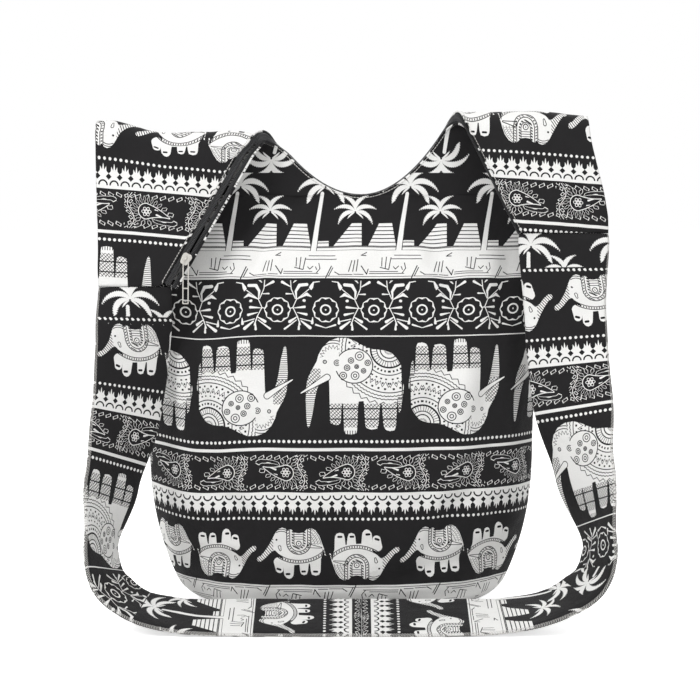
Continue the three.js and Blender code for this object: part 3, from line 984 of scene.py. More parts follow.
# where the bands lie, in millimetres up the cloth
printRows = {
    "repeat": 495.0,
    "mirror": 435.45,        # past the tall crowns the strip is turned upside down
    "smallElephants": (46.4, 101.6),
    "lowDots": 106.9,
    "starTop": 131.6,
    "paisleys": (133.4, 166.8),
    "paisleyMiddle": 150.2,
    "line": 171.5,
    "highDots": 178.9,
    "bigElephants": (183.5, 276.2),
    "highLine": 277.0,
    "flowers": (280.5, 330.6),
    "flowerMiddle": 302.0,
}


bigElephant = {
    "pair": 202.0,
    "at": 9.9,
    "foot": 185.4,
    "turned": 88.6,      # height about which every second one is turned upside down
    "top": [(-43, 30), (-41.8, 34), (-41.5, 47), (-40, 52), (-38.2, 57), (-35, 62.5), (-32, 68),
            (-30.5, 74), (-26, 82), (-20, 87.5), (-12.5, 90), (-4, 90), (3.8, 86.7), (8.4, 83.8),
            (15.4, 80.4), (21, 79.2), (30.5, 78), (37.5, 75.5), (42, 70.4), (46, 64), (48, 56),
            (48.4, 48), (48, 40), (47, 34), (46.6, 30), (49, 30)],
    "bottom": [(-43, 33), (-42, 34), (-41.6, 18), (-40.6, 7.5), (-39.4, 6.5), (-38.2, 8), (-35.6, 19.5),
               (-33.5, 33.5), (-32, 40.5), (-29, 50), (-24, 50.5), (-21.5, 49.8), (-20.4, 51), (-20, 24),
               (-19.7, 12), (-18.6, 10), (-14, 8.6), (-10.4, 9.4), (-9.6, 14), (-9.2, 24), (-8.6, 29),
               (-7.7, 29), (-7.2, 20), (-7, 5), (-6.4, 2), (-5, 0.5), (0, 0), (4.6, 1), (5.4, 5),
               (5.8, 20), (6.5, 30.5), (11.4, 31), (12.2, 20), (12.7, 8), (14.2, 6), (18, 4.6),
               (23.6, 5.4), (25, 9), (25.6, 20), (26.8, 29), (28.2, 28), (29.2, 12), (30, 7), (31.6, 4.4),
               (35, 3), (39.6, 3.8), (41.2, 8), (41.7, 20), (42.1, 31), (42.7, 34), (43.2, 22),
               (44.2, 20), (45.6, 22), (46.8, 33), (48, 40), (48.6, 49), (49, 56)],
}


# elephants walk in pairs, and every second one is turned upside down
def walkingPair(u, v, shape):
    half = shape["pair"] / 2
    run = (u - (shape["at"] - half / 2)).modulo(shape["pair"])
    turned = run.above(half)
    side = turned.timesPlus(-2.0, 1.0)
    x = (run.modulo(half) - half / 2) * side
    y = (v - shape["foot"]).timesPlus(side, turned * shape["turned"])
    return x, y, spot(x, y)


def bigElephantInk(u, v):
    shape = bigElephant
    x, y, place = walkingPair(u, v, shape)
    tusk = stroke(place, -22.5, 52.8, -46.4, 38.2, 2.7, 0.5)
    top = drawnCurve(x, -50.5, 50.5, shape["top"], 0, 100)
    body = (top - y).above(0)
    bottom = drawnCurve(x, -50.5, 50.5, shape["bottom"], 0, 100)
    body = body * (y - bottom).above(0) * tusk.above(0.75)
    body = body * x.between(-42.6, 48.6)
    # rings and zigzags round the rump
    r = distanceTo(place, 35, 79)
    turn = (x - 35).math("ARCTAN2", y - 79)
    sweep = (turn * 6.1).beat()
    dark = r.nearLine(8.4, 0.55)
    dark |= r.nearLine(11.6, 0.45)
    dark |= r.nearLine(17.2, 0.8)
    dark |= r.nearLine(14.3, 2.6) * sweep.below(0.11)
    dark |= r.nearLine(20.9, 0.95) * sweep.above(0.27)
    dark |= r.nearLine(24.3, 0.45)
    dark |= r.nearLine(28.2, 0.7) * sweep.below(0.2)
    dark |= r.nearLine(4.2, 0.9) * sweep.below(0.25)
    dark |= abs(sweep.timesPlus(10.0, 30.6) - r).below(0.55)
    dark |= r.nearLine(37.4, 0.9) * sweep.below(0.16)
    dark |= r.nearLine(32.2, 0.9) * sweep.above(0.36)
    dark |= r.nearLine(40.6, 0.45)
    wave = sweep.timesPlus(-6.0, 3.0) * sweep * 2
    dark |= abs(wave + 43.4 - r).below(0.42)
    dark |= abs(wave + 46.4 - r).below(0.42)
    dark |= abs(sweep.timesPlus(6.0, 49.4) - r).below(0.45)
    dark = dark * y.above(28.5)
    # the shoulder with its double rings
    shoulder = vectorMath("DISTANCE", vectorMath("MULTIPLY", place, (1.0, 1.06, 0)), (2.5, 67.5, 0))
    ringMark = None
    for cx, cy, size in ((7.5, 72.8, 3.9), (-0.4, 68.8, 2.5), (-4, 62, 2.6), (4.8, 63, 1.8), (15, 66.4, 2.5),
                         (11.2, 59, 2.1), (3.4, 54.6, 3.6), (-7.6, 54.6, 3.2)):
        d = distanceTo(place, cx, cy)
        mark = abs(d - size).least(abs(d - size * 0.42))
        ringMark = mark if ringMark is None else ringMark.least(mark)
    inShoulder = shoulder.below(16.6)
    dark = dark * (1 - inShoulder)
    dark |= ringMark.below(0.42) * inShoulder
    dark |= shoulder.nearLine(17.1, 0.5)
    # the head: cap lines, a wavy crest, the eye
    skull = distanceTo(place, -17, 70.5)
    inHead = (x * 0.5 + y).above(52.0) * x.below(-11.5)
    headTurn = ((x + 17).math("ARCTAN2", y - 70.5) * 3.3).beat()
    headDark = abs(headTurn.timesPlus(7.0, 9.2) - skull).below(0.5)
    headDark |= skull.nearLine(14.6, 0.4)
    headDark |= skull.nearLine(17.2, 0.4)
    headDark = headDark * y.above(71.5)
    eye = distanceTo(place, -24.6, 67.4)
    headDark |= abs(eye - 1.5).least(eye).below(0.45)
    curl = distanceTo(place, -13.4, 66.6)
    headDark |= abs(curl - 2.6).least(abs(curl - 1.1)).below(0.4)
    dark = dark * (1 - inHead)
    dark |= headDark * inHead
    # trunk and legs: ladders, lozenges and toes
    slant = ((x + y) * 0.34).beat()
    slope = ((x - y) * 0.27).beat()
    mesh = slant.below(0.12).most(slope.below(0.11))
    ladder = ((y * 0.56).fraction()).below(0.34)
    legs = y.below(28.5) * x.above(-20.5)
    cuff = (y * 0.105).beat().below(0.06)
    dark |= legs * y.above(6.5) * mesh.most(cuff)
    toes = (x * 0.42).beat().below(0.16) * y.below(3.6)
    dark |= toes * x.above(-20.5)
    upper = y.between(38, 61) * x.below(-28.5)
    dark |= upper * mesh
    lower = y.below(38) * x.below(-30)
    dark |= lower * ladder
    tail = x.above(42.6) * y.below(36)
    dark |= tail * ladder
    ink = body.without(dark)
    return ink.most(tusk.below(0)) * v.between(*printRows["bigElephants"])


smallElephant = {
    "pair": 133.0,
    "at": -45.3,
    "foot": 48.9,
    "turned": 48.6,
    "top": [(-34, 16), (-33, 19.6), (-31.5, 21.6), (-29, 22.6), (-27, 25), (-24, 29), (-21, 33.6),
            (-18, 39.4), (-15.5, 44.4), (-12, 48.4), (-8.8, 49.7), (-5.5, 48.6), (-3.6, 46.6),
            (-2.2, 48.3), (0, 47.6), (2.2, 45), (6.6, 44.4), (11, 45.2), (14, 48.5), (18, 49.5),
            (22, 47.6), (25.4, 42.6), (27.4, 37), (28.6, 33.5), (29.8, 30), (31, 25.6), (31.4, 24),
            (33, 24)],
    "bottom": [(-34, 21), (-33, 18.6), (-32, 16.9), (-30, 16.5), (-27, 18.6), (-24, 21.2), (-21, 24.6),
               (-18, 27.2), (-15.5, 27.6), (-13, 25), (-10, 22.6), (-8.4, 21.6), (-7.9, 8), (-7.2, 3.4),
               (-5, 0.8), (-2.6, 0), (-0.4, 1), (1.2, 3.4), (1.8, 8), (2, 14), (7.2, 14.4), (7.4, 8),
               (8.6, 4.8), (11.2, 3.8), (13.8, 4.8), (14.9, 8.4), (15.6, 15.4), (16.8, 15.6), (17.6, 8),
               (18.6, 4.8), (22, 3.8), (25.2, 4.8), (26.8, 8), (26.9, 19.6), (28, 23), (28.6, 31),
               (29.2, 27.4), (30.2, 24), (31.4, 23.2), (33, 24.4)],
}


def smallElephantInk(u, v):
    shape = smallElephant
    x, y, place = walkingPair(u, v, shape)
    leg = stroke(place, -12.4, 16.6, -11.8, 9.4, 4.6, 3.7)
    top = drawnCurve(x, -33.25, 33.25, shape["top"], 0, 60)
    body = (top - y).above(0)
    bottom = drawnCurve(x, -33.25, 33.25, shape["bottom"], 0, 60)
    body = (body * (y - bottom).above(0) * x.between(-33.1, 31.6)).most(leg.below(0))
    # saddle cloth: nested U shapes
    saddle = distanceTo(vectorMath("MINIMUM", place, (99, 35.5, 0)), 6.4, 35.5)
    beat = (abs(x * 0.19) + y * 0.38).beat()
    dark = saddle.nearLine(11.2, 0.42).most(saddle.nearLine(8.3, 0.4))
    dark |= saddle.nearLine(9.8, 0.75) * beat.below(0.2)
    dark |= saddle.nearLine(5.6, 0.85) * beat.below(0.27)
    dark |= saddle.nearLine(4.3, 0.3)
    star = distanceTo(place, 6.4, 34.6)
    dark |= abs(star - 2.3).below(0.4)
    dark |= star.below(0.6)
    dark |= saddle.below(5) * (y * 0.45).beat().below(0.14) * y.above(38.2)
    inSaddle = saddle.below(11.6)
    # rump stripes, belly lace, head, trunk and toes
    rump = distanceTo(place, 4, 30)
    rumpBeat = ((x - y) * 0.36).beat()
    stripes = (rump * 0.36).beat()
    rumpDark = stripes.below(0.09).most(stripes.above(0.36) * rumpBeat.below(0.16))
    dark |= rumpDark * (1 - inSaddle) * y.above(33.8) * x.above(12)
    dark |= abs(stroke(place, 16.5, 32.6, 27.5, 31, 1.7, 0.4)).below(0.34)
    belly = distanceTo(place, 6, 52)
    beads = (x * 0.42).beat()
    dark |= belly.nearLine(36.2, 0.4)
    dark |= belly.nearLine(33.4, 0.36)
    dark |= belly.nearLine(34.8, 0.8) * beads.below(0.2)
    dark = dark * x.above(-17)
    cap = distanceTo(place, -9.6, 37.6)
    capLines = cap.nearLine(8.6, 0.36).most(cap.nearLine(10.5, 0.36))
    dark |= capLines * y.above(44.6) * x.below(-4.8)
    dark |= distanceTo(place, -14.4, 37.8).below(0.95)
    dark |= abs(stroke(place, -11.6, 31, -10.8, 28, 1.3, 0.7)).below(0.34)
    trunk = ((x * 0.75 + y * 0.66) * 0.47).beat().below(0.17)
    dark |= trunk * x.below(-17.5)
    feet = stroke(place, -5, 4.7, -2.6, 4.9, 1.1).least(stroke(place, 9.6, 7.4, 12, 7.6, 1.0))
    feet = feet.least(stroke(place, 20.6, 7.8, 23.4, 7.8, 1.0)).least(stroke(place, -13.6, 9.8, -11, 9, 1.1))
    dark |= feet.below(0)
    return body.without(dark) * v.between(*printRows["smallElephants"])


starEdge = [(0, 110.6), (0.35, 112), (0.95, 116.2), (1.6, 115.2), (2.8, 113.2), (3.1, 116.8), (4, 118),
            (5.2, 118.8)]


def starBandInk(u, v):
    x = abs(u.wrapped(10.4, -13.3))
    edge = drawnCurve(x, 0, 5.2, starEdge, 100, 40)
    ink = (v - edge).above(0) * v.below(printRows["starTop"])
    place = spot(x, v)
    arch = distanceTo(place, 0, 128.6)
    ink = ink.without(arch.between(3.1, 4.5) * v.below(128.8))
    ink = ink.without((abs(x - 5.2) + abs(v - 121.4)).below(2.7))
    return ink


def dottedInk(u, v):
    upper = distanceTo(spot(u.wrapped(4.75), v), 0, printRows["highDots"]).below(1.45)
    lower = distanceTo(spot(u.wrapped(5.1), v), 0, printRows["lowDots"]).below(1.35)
    return upper.most(lower)


# paisleys on a vine: a curled drop with a six-petal flower, a ring of leaves, sprigs between
def paisleyInk(u, v):
    half = 56.4
    run = (u + 50.8 + 36).modulo(2 * half)
    turned = run.above(half)
    side = turned.timesPlus(2.0, -1.0)
    x = run.modulo(half) - 36
    y = (v - printRows["paisleyMiddle"]) * side
    place = spot(x, y)
    bent = spot(x, y + (x * x) * (x.below(0)) * 0.012 - 0.4)
    drop = stroke(bent, 0, 0, -21, 0.5, 7.4, 0.6)
    ink = abs(drop).below(0.38)
    # flower
    head = vectorMath("LENGTH", place)
    turn = x.math("ARCTAN2", y)
    petal = (turn * 0.9549).beat()
    petalPlace = spot(petal * 1.047 * head, head)
    ink |= abs(distanceTo(petalPlace, 0, 3.1) - 1.3).below(0.3)
    ink |= abs(head - 1.1).below(0.3)
    curls = [(-15, -4.4, -9.5, -2.6, 0.3, 0.9), (-11, 1.4, -8, 2.2, 0.2, 0.5)]
    ink |= strokes(place, curls).below(0)
    # leaves all round the drop
    leaf = (turn * 2.55 + x * 0.06).beat()
    reach = drop - 0.6
    blade = leaf.timesPlus(11.0, abs(reach - 3.2) * 0.9) - 3.4
    ink |= abs(blade).below(0.4) * drop.between(0.6, 7.0)
    # a sprig between two paisleys
    stem = (y * 0.21).math("SINE") * 3.2
    fromStem = x - 14.5 - stem
    wide = abs(fromStem)
    ink |= wide.below(0.34) * drop.above(5.0)
    pod = (y * 0.2 + wide * -0.06).beat()
    podEdge = pod.timesPlus(5.2, abs(wide - 3.0)) - 1.9
    ink |= abs(podEdge).below(0.36) * drop.above(6.4)
    vine = (x * 0.13 + y * 0.11).beat()
    vine = (vine * 7.0 + abs(abs(y) - 13.5)) - 2.3
    ink |= abs(vine).below(0.36) * drop.above(6.8) * wide.above(4.4)
    return ink * v.between(*printRows["paisleys"])


flowerStrokes = [
    (6.0, 27.4, 11.4, 26.6, 0.45, 0.5), (11.4, 26.6, 13.2, 22.5, 0.6, 1.7),
    (13.6, 21, 13.4, 19.4, 1.9, 0.6), (15.4, 19.6, 26.6, 10.2, 0.4), (17.6, 24.2, 24.4, 23.6, 1.5, 1.6),
    (24.4, 23.6, 27.8, 17.8, 1.6, 1.1), (27.8, 17.8, 27.2, 10.2, 1.1, 0.4),
    (13.2, 12.2, 17.6, 14.6, 0.3, 1.6), (17.6, 14.6, 26.4, 10.2, 1.3, 0.35), (19.8, 8.5, 20.2, 8.6, 1.3),
    (19.6, 2.4, 29.6, 1.6, 1.2, 0.3), (17.8, -4.8, 26.4, -2.8, 1.2, 0.3), (27, 10, 30.6, 1.8, 0.42),
    (30.6, 1.8, 33.6, 1.3, 0.42), (30.2, 1.6, 26.2, -6.6, 0.42), (26.2, -6.6, 23.4, -14.6, 0.5),
    (28.2, 10.6, 32.2, 20.3, 0.42), (32.2, 20.3, 32.8, 28.6, 0.42), (33, 22.4, 40.6, 27, 0.4, 1.3),
    (31, 15.2, 36.6, 15.4, 0.35, 0.8), (26.6, -7, 33.4, -11.4, 0.4, 1.4), (27, -10, 38, -18.2, 0.4, 0.9),
    (23.4, -8.8, 12.2, -11.6, 0.5, 0.5), (12.4, -12.8, 12, -7.6, 1.3, 0.3),
    (22.6, -11, 14.4, -17.4, 0.6, 1.5), (0, -17.2, 9, -14.4, 0.3, 0.9),
    (24.4, -12, 24.8, -18.6, 0.4, 1.1), (30, 26.4, 27.6, 29, 0.4, 0.9),
]


def flowerInk(u, v):
    x = abs(u.wrapped(89.6, 75.6))
    y = v - printRows["flowerMiddle"]
    place = spot(x, y)
    ink = strokes(place, flowerStrokes).below(0)
    nearest = 44.8 / 2 - abs(x - 44.8 / 2)
    bloom = spot(nearest, y)
    r = vectorMath("LENGTH", bloom)
    turn = nearest.math("ARCTAN2", y)
    scallop = (turn * 1.592).beat()
    rim = abs(scallop.timesPlus(-2.6, 12.0) - r)
    ink |= rim.below(scallop.timesPlus(1.2, 0.3))
    ink |= r.nearLine(4.5, 0.75)
    diamond = nearest + abs(y)
    ink = ink.without(diamond.below(3.9) * r.below(4.0))
    ink |= r.below(0.75)
    return ink * v.between(*printRows["flowers"])


groundStrokes = [
    (-2.9, 20.7, -3.3, 12.4, 0.42), (-4.7, 11.2, 2.9, 9.1, 0.45), (1.2, 21.3, 0, 10.6, 0.42),
    (5.5, 20.7, 3.3, 9.5, 0.42), (8.7, 23.1, 33.1, 22.8, 0.38), (5.8, 19.5, 34.3, 19.3, 0.38),
    (7.6, 11.8, 9.5, 9.5, 0.4), (9.5, 9.5, 12.4, 12.4, 0.4), (14.9, 11.8, 16, 8.9, 0.4),
    (18, 15.4, 19, 10, 0.4), (19, 10, 15.7, 5.6, 0.4), (29.7, 12.4, 24.4, 0.8, 0.5),
    (31, 10.6, 27, 2.4, 0.42), (32.8, 6.5, 37, 3.9, 0.45), (48.8, 17.7, 45.7, 7.1, 0.42),
    (51.6, 17.7, 49.6, 7.2, 0.42), (54.6, 18.6, 52.9, 7.5, 0.42), (57.6, 12.4, 62.6, 4.7, 0.5),
    (62.6, 4.7, 64, 9.5, 0.42), (-14.6, 7.1, 11.6, 7.1, 0.34), (-15, 5.2, 17.4, 5.2, 0.34),
    (36, 4.1, 49, 4.1, 0.34), (50.6, 4.4, 59.3, 4.4, 0.34), (57.6, 22.8, 62.6, 25.6, 0.42),
    (57.6, 22.8, 62, 22.6, 0.42),
]


# a palm's crown: curved fronds that narrow outward, their lower edges cut into barbs
def palmCrown(x, y, cx, cy, size):
    qx = (x - (cx - 40)).modulo(80.0) - 40
    qy = y - cy
    r = vectorMath("LENGTH", spot(qx, qy))
    turn = abs(qx.math("ARCTAN2", qy))
    bent = (turn + r * -0.045 + 0.62) * 1.3
    cell = abs(bent.fraction() - 0.5)
    barb = (r * 0.62 + bent * 2.0).fraction() * 0.07
    frond = cell * 0.7 + barb - (size - r) * (0.40 / size)
    return frond.below(0.035) * r.between(0.9, size) * turn.below(2.3)


# white ground with scratched grass, and the palms and pyramids that stand on it;
# past the row of tall crowns the strip is turned upside down
def groundInk(u, vHere):
    v = vHere + vHere.below(150) * printRows["repeat"]
    side = v.above(printRows["mirror"]).timesPlus(-2.0, 1.0)
    w = abs(v - printRows["mirror"])
    x = u * side
    gx = (x - 26.0).modulo(80.0) - 15.5
    gy = 103.15 - w
    marks = strokes(spot(gx, gy), groundStrokes).below(0)
    marks = marks.most(gy.nearLine(2.3, 0.3)) * gy.between(0.4, 27.0)
    ink = gy.between(0.4, 28.0).without(marks)
    px = (x + 11.4).modulo(80.0) - 26
    py = 75.35 - w
    first = (px - py * 0.78).above(-25.2) * px.below(4.9) * py.below(27)
    second = (px - py * 0.46).above(8.9) * (px + py * 0.16).below(37.8) * py.below(27)
    third = (abs(px - 50) + py * 0.75).below(13.2) * py.below(10)
    rows = (py * 0.26).fraction().above(0.24)
    pyramids = first.most(second).most(third) * rows * py.above(4.2)
    base = py.between(-0.2, 4.0).without(py.nearLine(3.4, 0.4)).without(py.nearLine(0.2, 0.4))
    strip = pyramids.most(base)
    trunk = strokes(spot(px, py), [(39.6, 0, 43, 25, 2.5, 2.1), (43, 25, 48, 56, 2.1, 1.6)])
    strip = strip.without(trunk.between(0, 0.7)).most(trunk.below(0))
    strip |= palmCrown(x, py, 13.6, 38.0, 20)
    strip |= palmCrown(x, py, 65.6, 62.0, 27)
    return ink.most(strip * py.between(-0.2, 75.4))


def straightLines(u, v):
    lines = v.nearLine(printRows["line"], 1.45).most(v.nearLine(printRows["highLine"], 0.5))
    return lines.most(dottedInk(u, v))


def newGroup(name, inputs, outputs):
    tree = bpy.data.node_groups.new(name, "ShaderNodeTree")
    for way, sockets in (("INPUT", inputs), ("OUTPUT", outputs)):
        for socketName, kind in sockets.items():
            tree.interface.new_socket(socketName, in_out=way, socket_type="NodeSocket" + kind)
    return tree, tree.nodes.new("NodeGroupInput").outputs


def endGroup(tree, results):
    end = tree.nodes.new("NodeGroupOutput")
    for name, item in results.items():
        feed(tree, end.inputs[name], item)
    return tree


def placeGroup(tree, group, values):
    node = tree.nodes.new("ShaderNodeGroup")
    node.node_tree = group
    for name, item in values.items():
        feed(tree, node.inputs[name], item)
    return node.outputs


# one motif as a node group of its own: where on the cloth in, its white ink out
def motifGroup(name, draw):
    tree, start = newGroup(name, {"Across": "Float", "Up": "Float"}, {"White": "Float"})
    return endGroup(tree, {"White": draw(Value(tree, start[0]), Value(tree, start[1]))})


def inMillimetres(tree, place):
    parts = tree.nodes.new("ShaderNodeSeparateXYZ")
    feed(tree, parts.inputs[0], place)
    return Value(tree, parts.outputs[0]) * 1000.0, Value(tree, parts.outputs[1]) * 1000.0


def buildPrint():
    motifs = {
        "lines": straightLines,
        "stars": starBandInk,
        "bigElephants": bigElephantInk,
        "smallElephants": smallElephantInk,
        "paisleys": paisleyInk,
        "flowers": flowerInk,
        "ground": groundInk,
    }
    groups = {name: motifGroup(name, draw) for name, draw in motifs.items()}
    tree, start = newGroup("bandPrint", {"Cloth": "Vector"}, {"White": "Float"})
    u, v = inMillimetres(tree, start["Cloth"])
    v = v.modulo(printRows["repeat"])
    ink = None
    for group in groups.values():
        found = Value(tree, placeGroup(tree, group, {"Across": u, "Up": v})["White"])
        ink = found if ink is None else ink | found
    print("print nodes", sum(len(group.nodes) for group in groups.values()))
    return endGroup(tree, {"White": ink})


def newMaterial(name):
    material = bpy.data.materials.new(name)
    material.use_nodes = True
    tree = material.node_tree
    return material, tree, tree.nodes["Principled BSDF"]


def uvPlace(tree, layer):
    node = tree.nodes.new("ShaderNodeUVMap")
    node.uv_map = layer
    return node.outputs[0]


def mixColour(tree, factor, first, second):
    node = tree.nodes.new("ShaderNodeMix")
    node.data_type = "RGBA"
    for number, item in ((0, factor), (6, first), (7, second)):
        feed(tree, node.inputs[number], item)
    return node.outputs[2]


def bumpFrom(tree, height, distance, strength, base=None):
    node = tree.nodes.new("ShaderNodeBump")
    for name, item in (("Distance", distance), ("Strength", strength), ("Height", height), ("Normal", base)):
        feed(tree, node.inputs[name], item)
    return node.outputs[0]


def noiseValue(tree, place, scale, detail):
    node = tree.nodes.new("ShaderNodeTexNoise")
    for name, item in (("Scale", scale), ("Detail", detail), ("Vector", place)):
        feed(tree, node.inputs[name], item)
    return Value(tree, node.outputs[0])


# plain weave and soft crumples, with whatever is raised on the cloth, and dark flecks of yarn
def wovenGroup():
    tree, start = newGroup("wovenCotton", {"Cloth": "Vector", "Raised": "Float", "Yarn Turns": "Float"},
                           {"Fleck": "Float", "Normal": "Vector"})
    u, v = inMillimetres(tree, start["Cloth"])
    fleck = noiseValue(tree, start["Cloth"], 900.0, 1.0) * 0.16
    turns = Value(tree, start["Yarn Turns"])
    weave = (u * turns).math("SINE") * (v * turns).math("SINE")
    crumple = noiseValue(tree, start["Cloth"], 55.0, 3.0)
    soft = bumpFrom(tree, crumple, 0.005, 0.42)
    fine = bumpFrom(tree, weave * 0.5 + Value(tree, start["Raised"]), 0.00014, 0.55, soft)
    return endGroup(tree, {"Fleck": fleck, "Normal": fine})


# fine uneven grain: it shifts a moulded or metal surface between two colours and in roughness
def grainGroup():
    tree, start = newGroup("fineGrain", {"Place": "Vector", "Grain": "Float", "Roughness": "Float",
                                         "Dark": "Color", "Light": "Color"},
                           {"Roughness": "Float", "Colour": "Color"})
    value = noiseValue(tree, start["Place"], start["Grain"], 3.0)
    rough = value.timesPlus(0.16, Value(tree, start["Roughness"]) - 0.08)
    colour = mixColour(tree, value, start["Dark"], start["Light"])
    return endGroup(tree, {"Roughness": rough, "Colour": colour})


clothLook = {
    "white": (0.80, 0.795, 0.78, 1),
    "black": (0.011, 0.0105, 0.0112, 1),
    "thread": (0.50, 0.49, 0.47, 1),
    "yarnTurns": 14.0,      # yarns counted as radians in a millimetre
    "roughness": 0.86,
    "specular": 0.16,
    "sheen": 0.05,
}


# printed cotton: the band print on a plain weave, with stitches laid beside its edges
def cottonMaterial(name, printTree, wovenTree, onStrap):
    material, tree, bsdf = newMaterial(name)
    place = uvPlace(tree, "fabric")
    height = inMillimetres(tree, place)[1]
    white = placeGroup(tree, printTree, {"Cloth": place})["White"]
    away, along = inMillimetres(tree, uvPlace(tree, "rim"))
    if onStrap:
        hatch = (away * 0.7 + height * 0.72).fraction().below(0.42)
        stitches = away.below(1.7) * hatch
        pressed = away.nearLine(2.2, 0.35) | along.nearLine(0.0, 0.45)
    else:
        dash = (along * 0.34).fraction().below(0.74)
        stitches = away.nearLine(2.1, 0.34) * dash
        pressed = away.nearLine(2.1, 0.8)
    raised = stitches * 3.0 - pressed * 1.6
    woven = placeGroup(tree, wovenTree, {"Cloth": place, "Raised": raised,
                                         "Yarn Turns": clothLook["yarnTurns"]})
    ink = mixColour(tree, white, clothLook["black"], clothLook["white"])
    cloth = mixColour(tree, stitches, ink, clothLook["thread"])
    tone = mixColour(tree, woven["Fleck"], cloth, clothLook["black"])
    for socket, item in (("Base Color", tone), ("Roughness", clothLook["roughness"]),
                         ("Specular IOR Level", clothLook["specular"]),
                         ("Sheen Weight", clothLook["sheen"]), ("Normal", woven["Normal"])):
        feed(tree, bsdf.inputs[socket], item)
    return material


tapeLook = {"light": (0.016, 0.016, 0.017, 1), "dark": (0.006, 0.006, 0.007, 1), "roughness": 0.8}


def tapeMaterial():
    material, tree, bsdf = newMaterial("wovenTape")
    across, run = inMillimetres(tree, uvPlace(tree, "weave"))
    rows = (abs(across) * 1.5 + run * 1.1).beat()
    colour = mixColour(tree, rows.below(0.22), tapeLook["light"], tapeLook["dark"])
    feed(tree, bsdf.inputs["Base Color"], colour)
    feed(tree, bsdf.inputs["Roughness"], tapeLook["roughness"])
    feed(tree, bsdf.inputs["Normal"], bumpFrom(tree, rows, 0.0003, 0.6))
    return material


nylonLook = {"colour": (0.034, 0.034, 0.036), "roughness": 0.34, "metallic": 0.0, "grain": 300.0}
nickelLook = {"colour": (0.66, 0.64, 0.60), "roughness": 0.3, "metallic": 1.0, "grain": 900.0,
              "worn": 0.00022}      # radius of the softened edges


def grainMaterial(name, grainTree, look):
    material, tree, bsdf = newMaterial(name)
    coordinate = tree.nodes.new("ShaderNodeTexCoord")
    grain = placeGroup(tree, grainTree, {
        "Place": coordinate.outputs["Object"],
        "Grain": look["grain"],
        "Roughness": look["roughness"],
        "Dark": tuple(c * 0.8 for c in look["colour"]) + (1,),
        "Light": look["colour"] + (1,),
    })
    feed(tree, bsdf.inputs["Roughness"], grain["Roughness"])
    feed(tree, bsdf.inputs["Base Color"], grain["Colour"])
    feed(tree, bsdf.inputs["Metallic"], look["metallic"])
    if "worn" in look:
        edge = tree.nodes.new("ShaderNodeBevel")
        edge.samples = 4
        edge.inputs["Radius"].default_value = look["worn"]
        feed(tree, bsdf.inputs["Normal"], edge.outputs[0])
    return material


cameraPlace = {"at": (-0.00062, -1.85907, 0.430), "pitch": 5.68, "lens": 103.05}
cameraData = bpy.data.cameras.new("camera")
cameraData.lens = cameraPlace["lens"]
cameraData.sensor_width = 36
camera = bpy.data.objects.new("camera", cameraData)
camera.location = cameraPlace["at"]
camera.rotation_euler = (math.radians(90 - cameraPlace["pitch"]), 0, 0)
bpy.context.scene.collection.objects.link(camera)
bpy.context.scene.camera = camera
print("camera placed")

frontCloth = buildPanel("frontCloth", -1)
backCloth = buildPanel("backCloth", 1)
print("panels sewn")
strapLeft, leftFrames = buildStrap("strapLeft", "left")
strapRight, rightFrames = buildStrap("strapRight", "right")
print("straps", leftFrames[-1]["run"], rightFrames[-1]["run"])
coilFront = buildCoil("coilFront", "zip_coil_front", -1)
coilBack = buildCoil("coilBack", "zip_coil_back", 1)
tapeFront = buildTape("tapeFront", "zip_tape_front", -1)
tapeBack = buildTape("tapeBack", "zip_tape_back", 1)
print("zip laid")

bandPrint = buildPrint()
wovenCotton = wovenGroup()
fineGrain = grainGroup()
printedCotton = cottonMaterial("printedCotton", bandPrint, wovenCotton, False)
strapCotton = cottonMaterial("strapCotton", bandPrint, wovenCotton, True)
blackNylon = grainMaterial("blackNylon", fineGrain, nylonLook)
wovenTape = tapeMaterial()
brushedNickel = grainMaterial("brushedNickel", fineGrain, nickelLook)
for pair, material in (((frontCloth, backCloth), printedCotton), ((strapLeft, strapRight), strapCotton),
                       ((coilFront, coilBack), blackNylon), ((tapeFront, tapeBack), wovenTape)):
    for piece in pair:
        piece.data.materials.append(material)
for node in ("zip_slider", "zip_pull"):
    for slot in bpy.data.objects[node].material_slots:
        slot.material = brushedNickel
print("materials made")


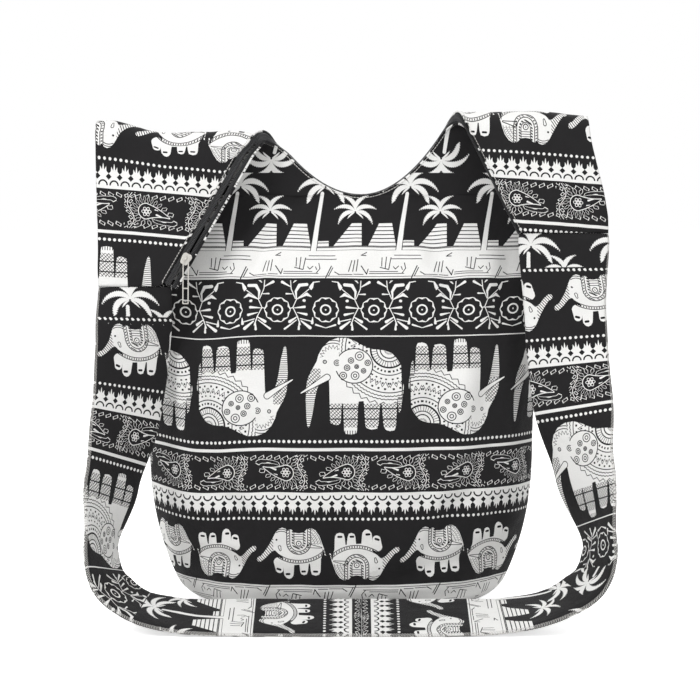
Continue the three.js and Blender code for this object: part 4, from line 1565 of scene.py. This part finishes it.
def onlySeen(tree, seen, unseen):
    path = tree.nodes.new("ShaderNodeLightPath")
    total = Value(tree, path.outputs["Is Camera Ray"]).most(Value(tree, path.outputs["Is Glossy Ray"]))
    total |= Value(tree, path.outputs["Is Transmission Ray"])
    return total * (seen - unseen) + unseen


floorMesh = bpy.data.meshes.new("floor")
floorCorners = [(x, y, -0.0004) for x, y in ((-6, -4), (6, -4), (6, 9), (-6, 9))]
floorMesh.from_pydata(floorCorners, [], [(0, 1, 2, 3)])
floor = bpy.data.objects.new("floor", floorMesh)
bpy.context.scene.collection.objects.link(floor)
floorPaint, tree, bsdf = newMaterial("whiteFloor")
bsdf.inputs["Base Color"].default_value = (0.9, 0.9, 0.9, 1)
bsdf.inputs["Roughness"].default_value = 0.9
bsdf.inputs["Specular IOR Level"].default_value = 0.0
bsdf.inputs["Emission Color"].default_value = (1, 1, 1, 1)
tree.links.new(onlySeen(tree, 0.62, 0.0).socket, bsdf.inputs["Emission Strength"])
floorMesh.materials.append(floorPaint)

world = bpy.data.worlds.new("studio")
bpy.context.scene.world = world
world.use_nodes = True
background = world.node_tree.nodes["Background"]
background.inputs["Color"].default_value = (1, 1, 1, 1)
world.node_tree.links.new(onlySeen(world.node_tree, 1.0, 0.45).socket, background.inputs["Strength"])


def areaLamp(name, at, toward, size, power):
    data = bpy.data.lights.new(name, "AREA")
    data.size = size
    data.energy = power
    lamp = bpy.data.objects.new(name, data)
    lamp.location = at
    lamp.rotation_euler = (Vector(toward) - Vector(at)).to_track_quat("-Z", "Y").to_euler()
    bpy.context.scene.collection.objects.link(lamp)


areaLamp("keyLamp", (-1.7, -1.5, 1.7), (0, 0, 0.2), 0.9, 44)
areaLamp("fillLamp", (1.8, -1.6, 0.9), (0, 0, 0.2), 1.2, 15)
areaLamp("topLamp", (0.2, -0.2, 2.2), (0, 0, 0.2), 1.0, 14)
areaLamp("rearLamp", (0.9, 2.1, 1.5), (0, 0, 0.2), 1.2, 22)
bpy.context.scene.view_settings.view_transform = "Standard"
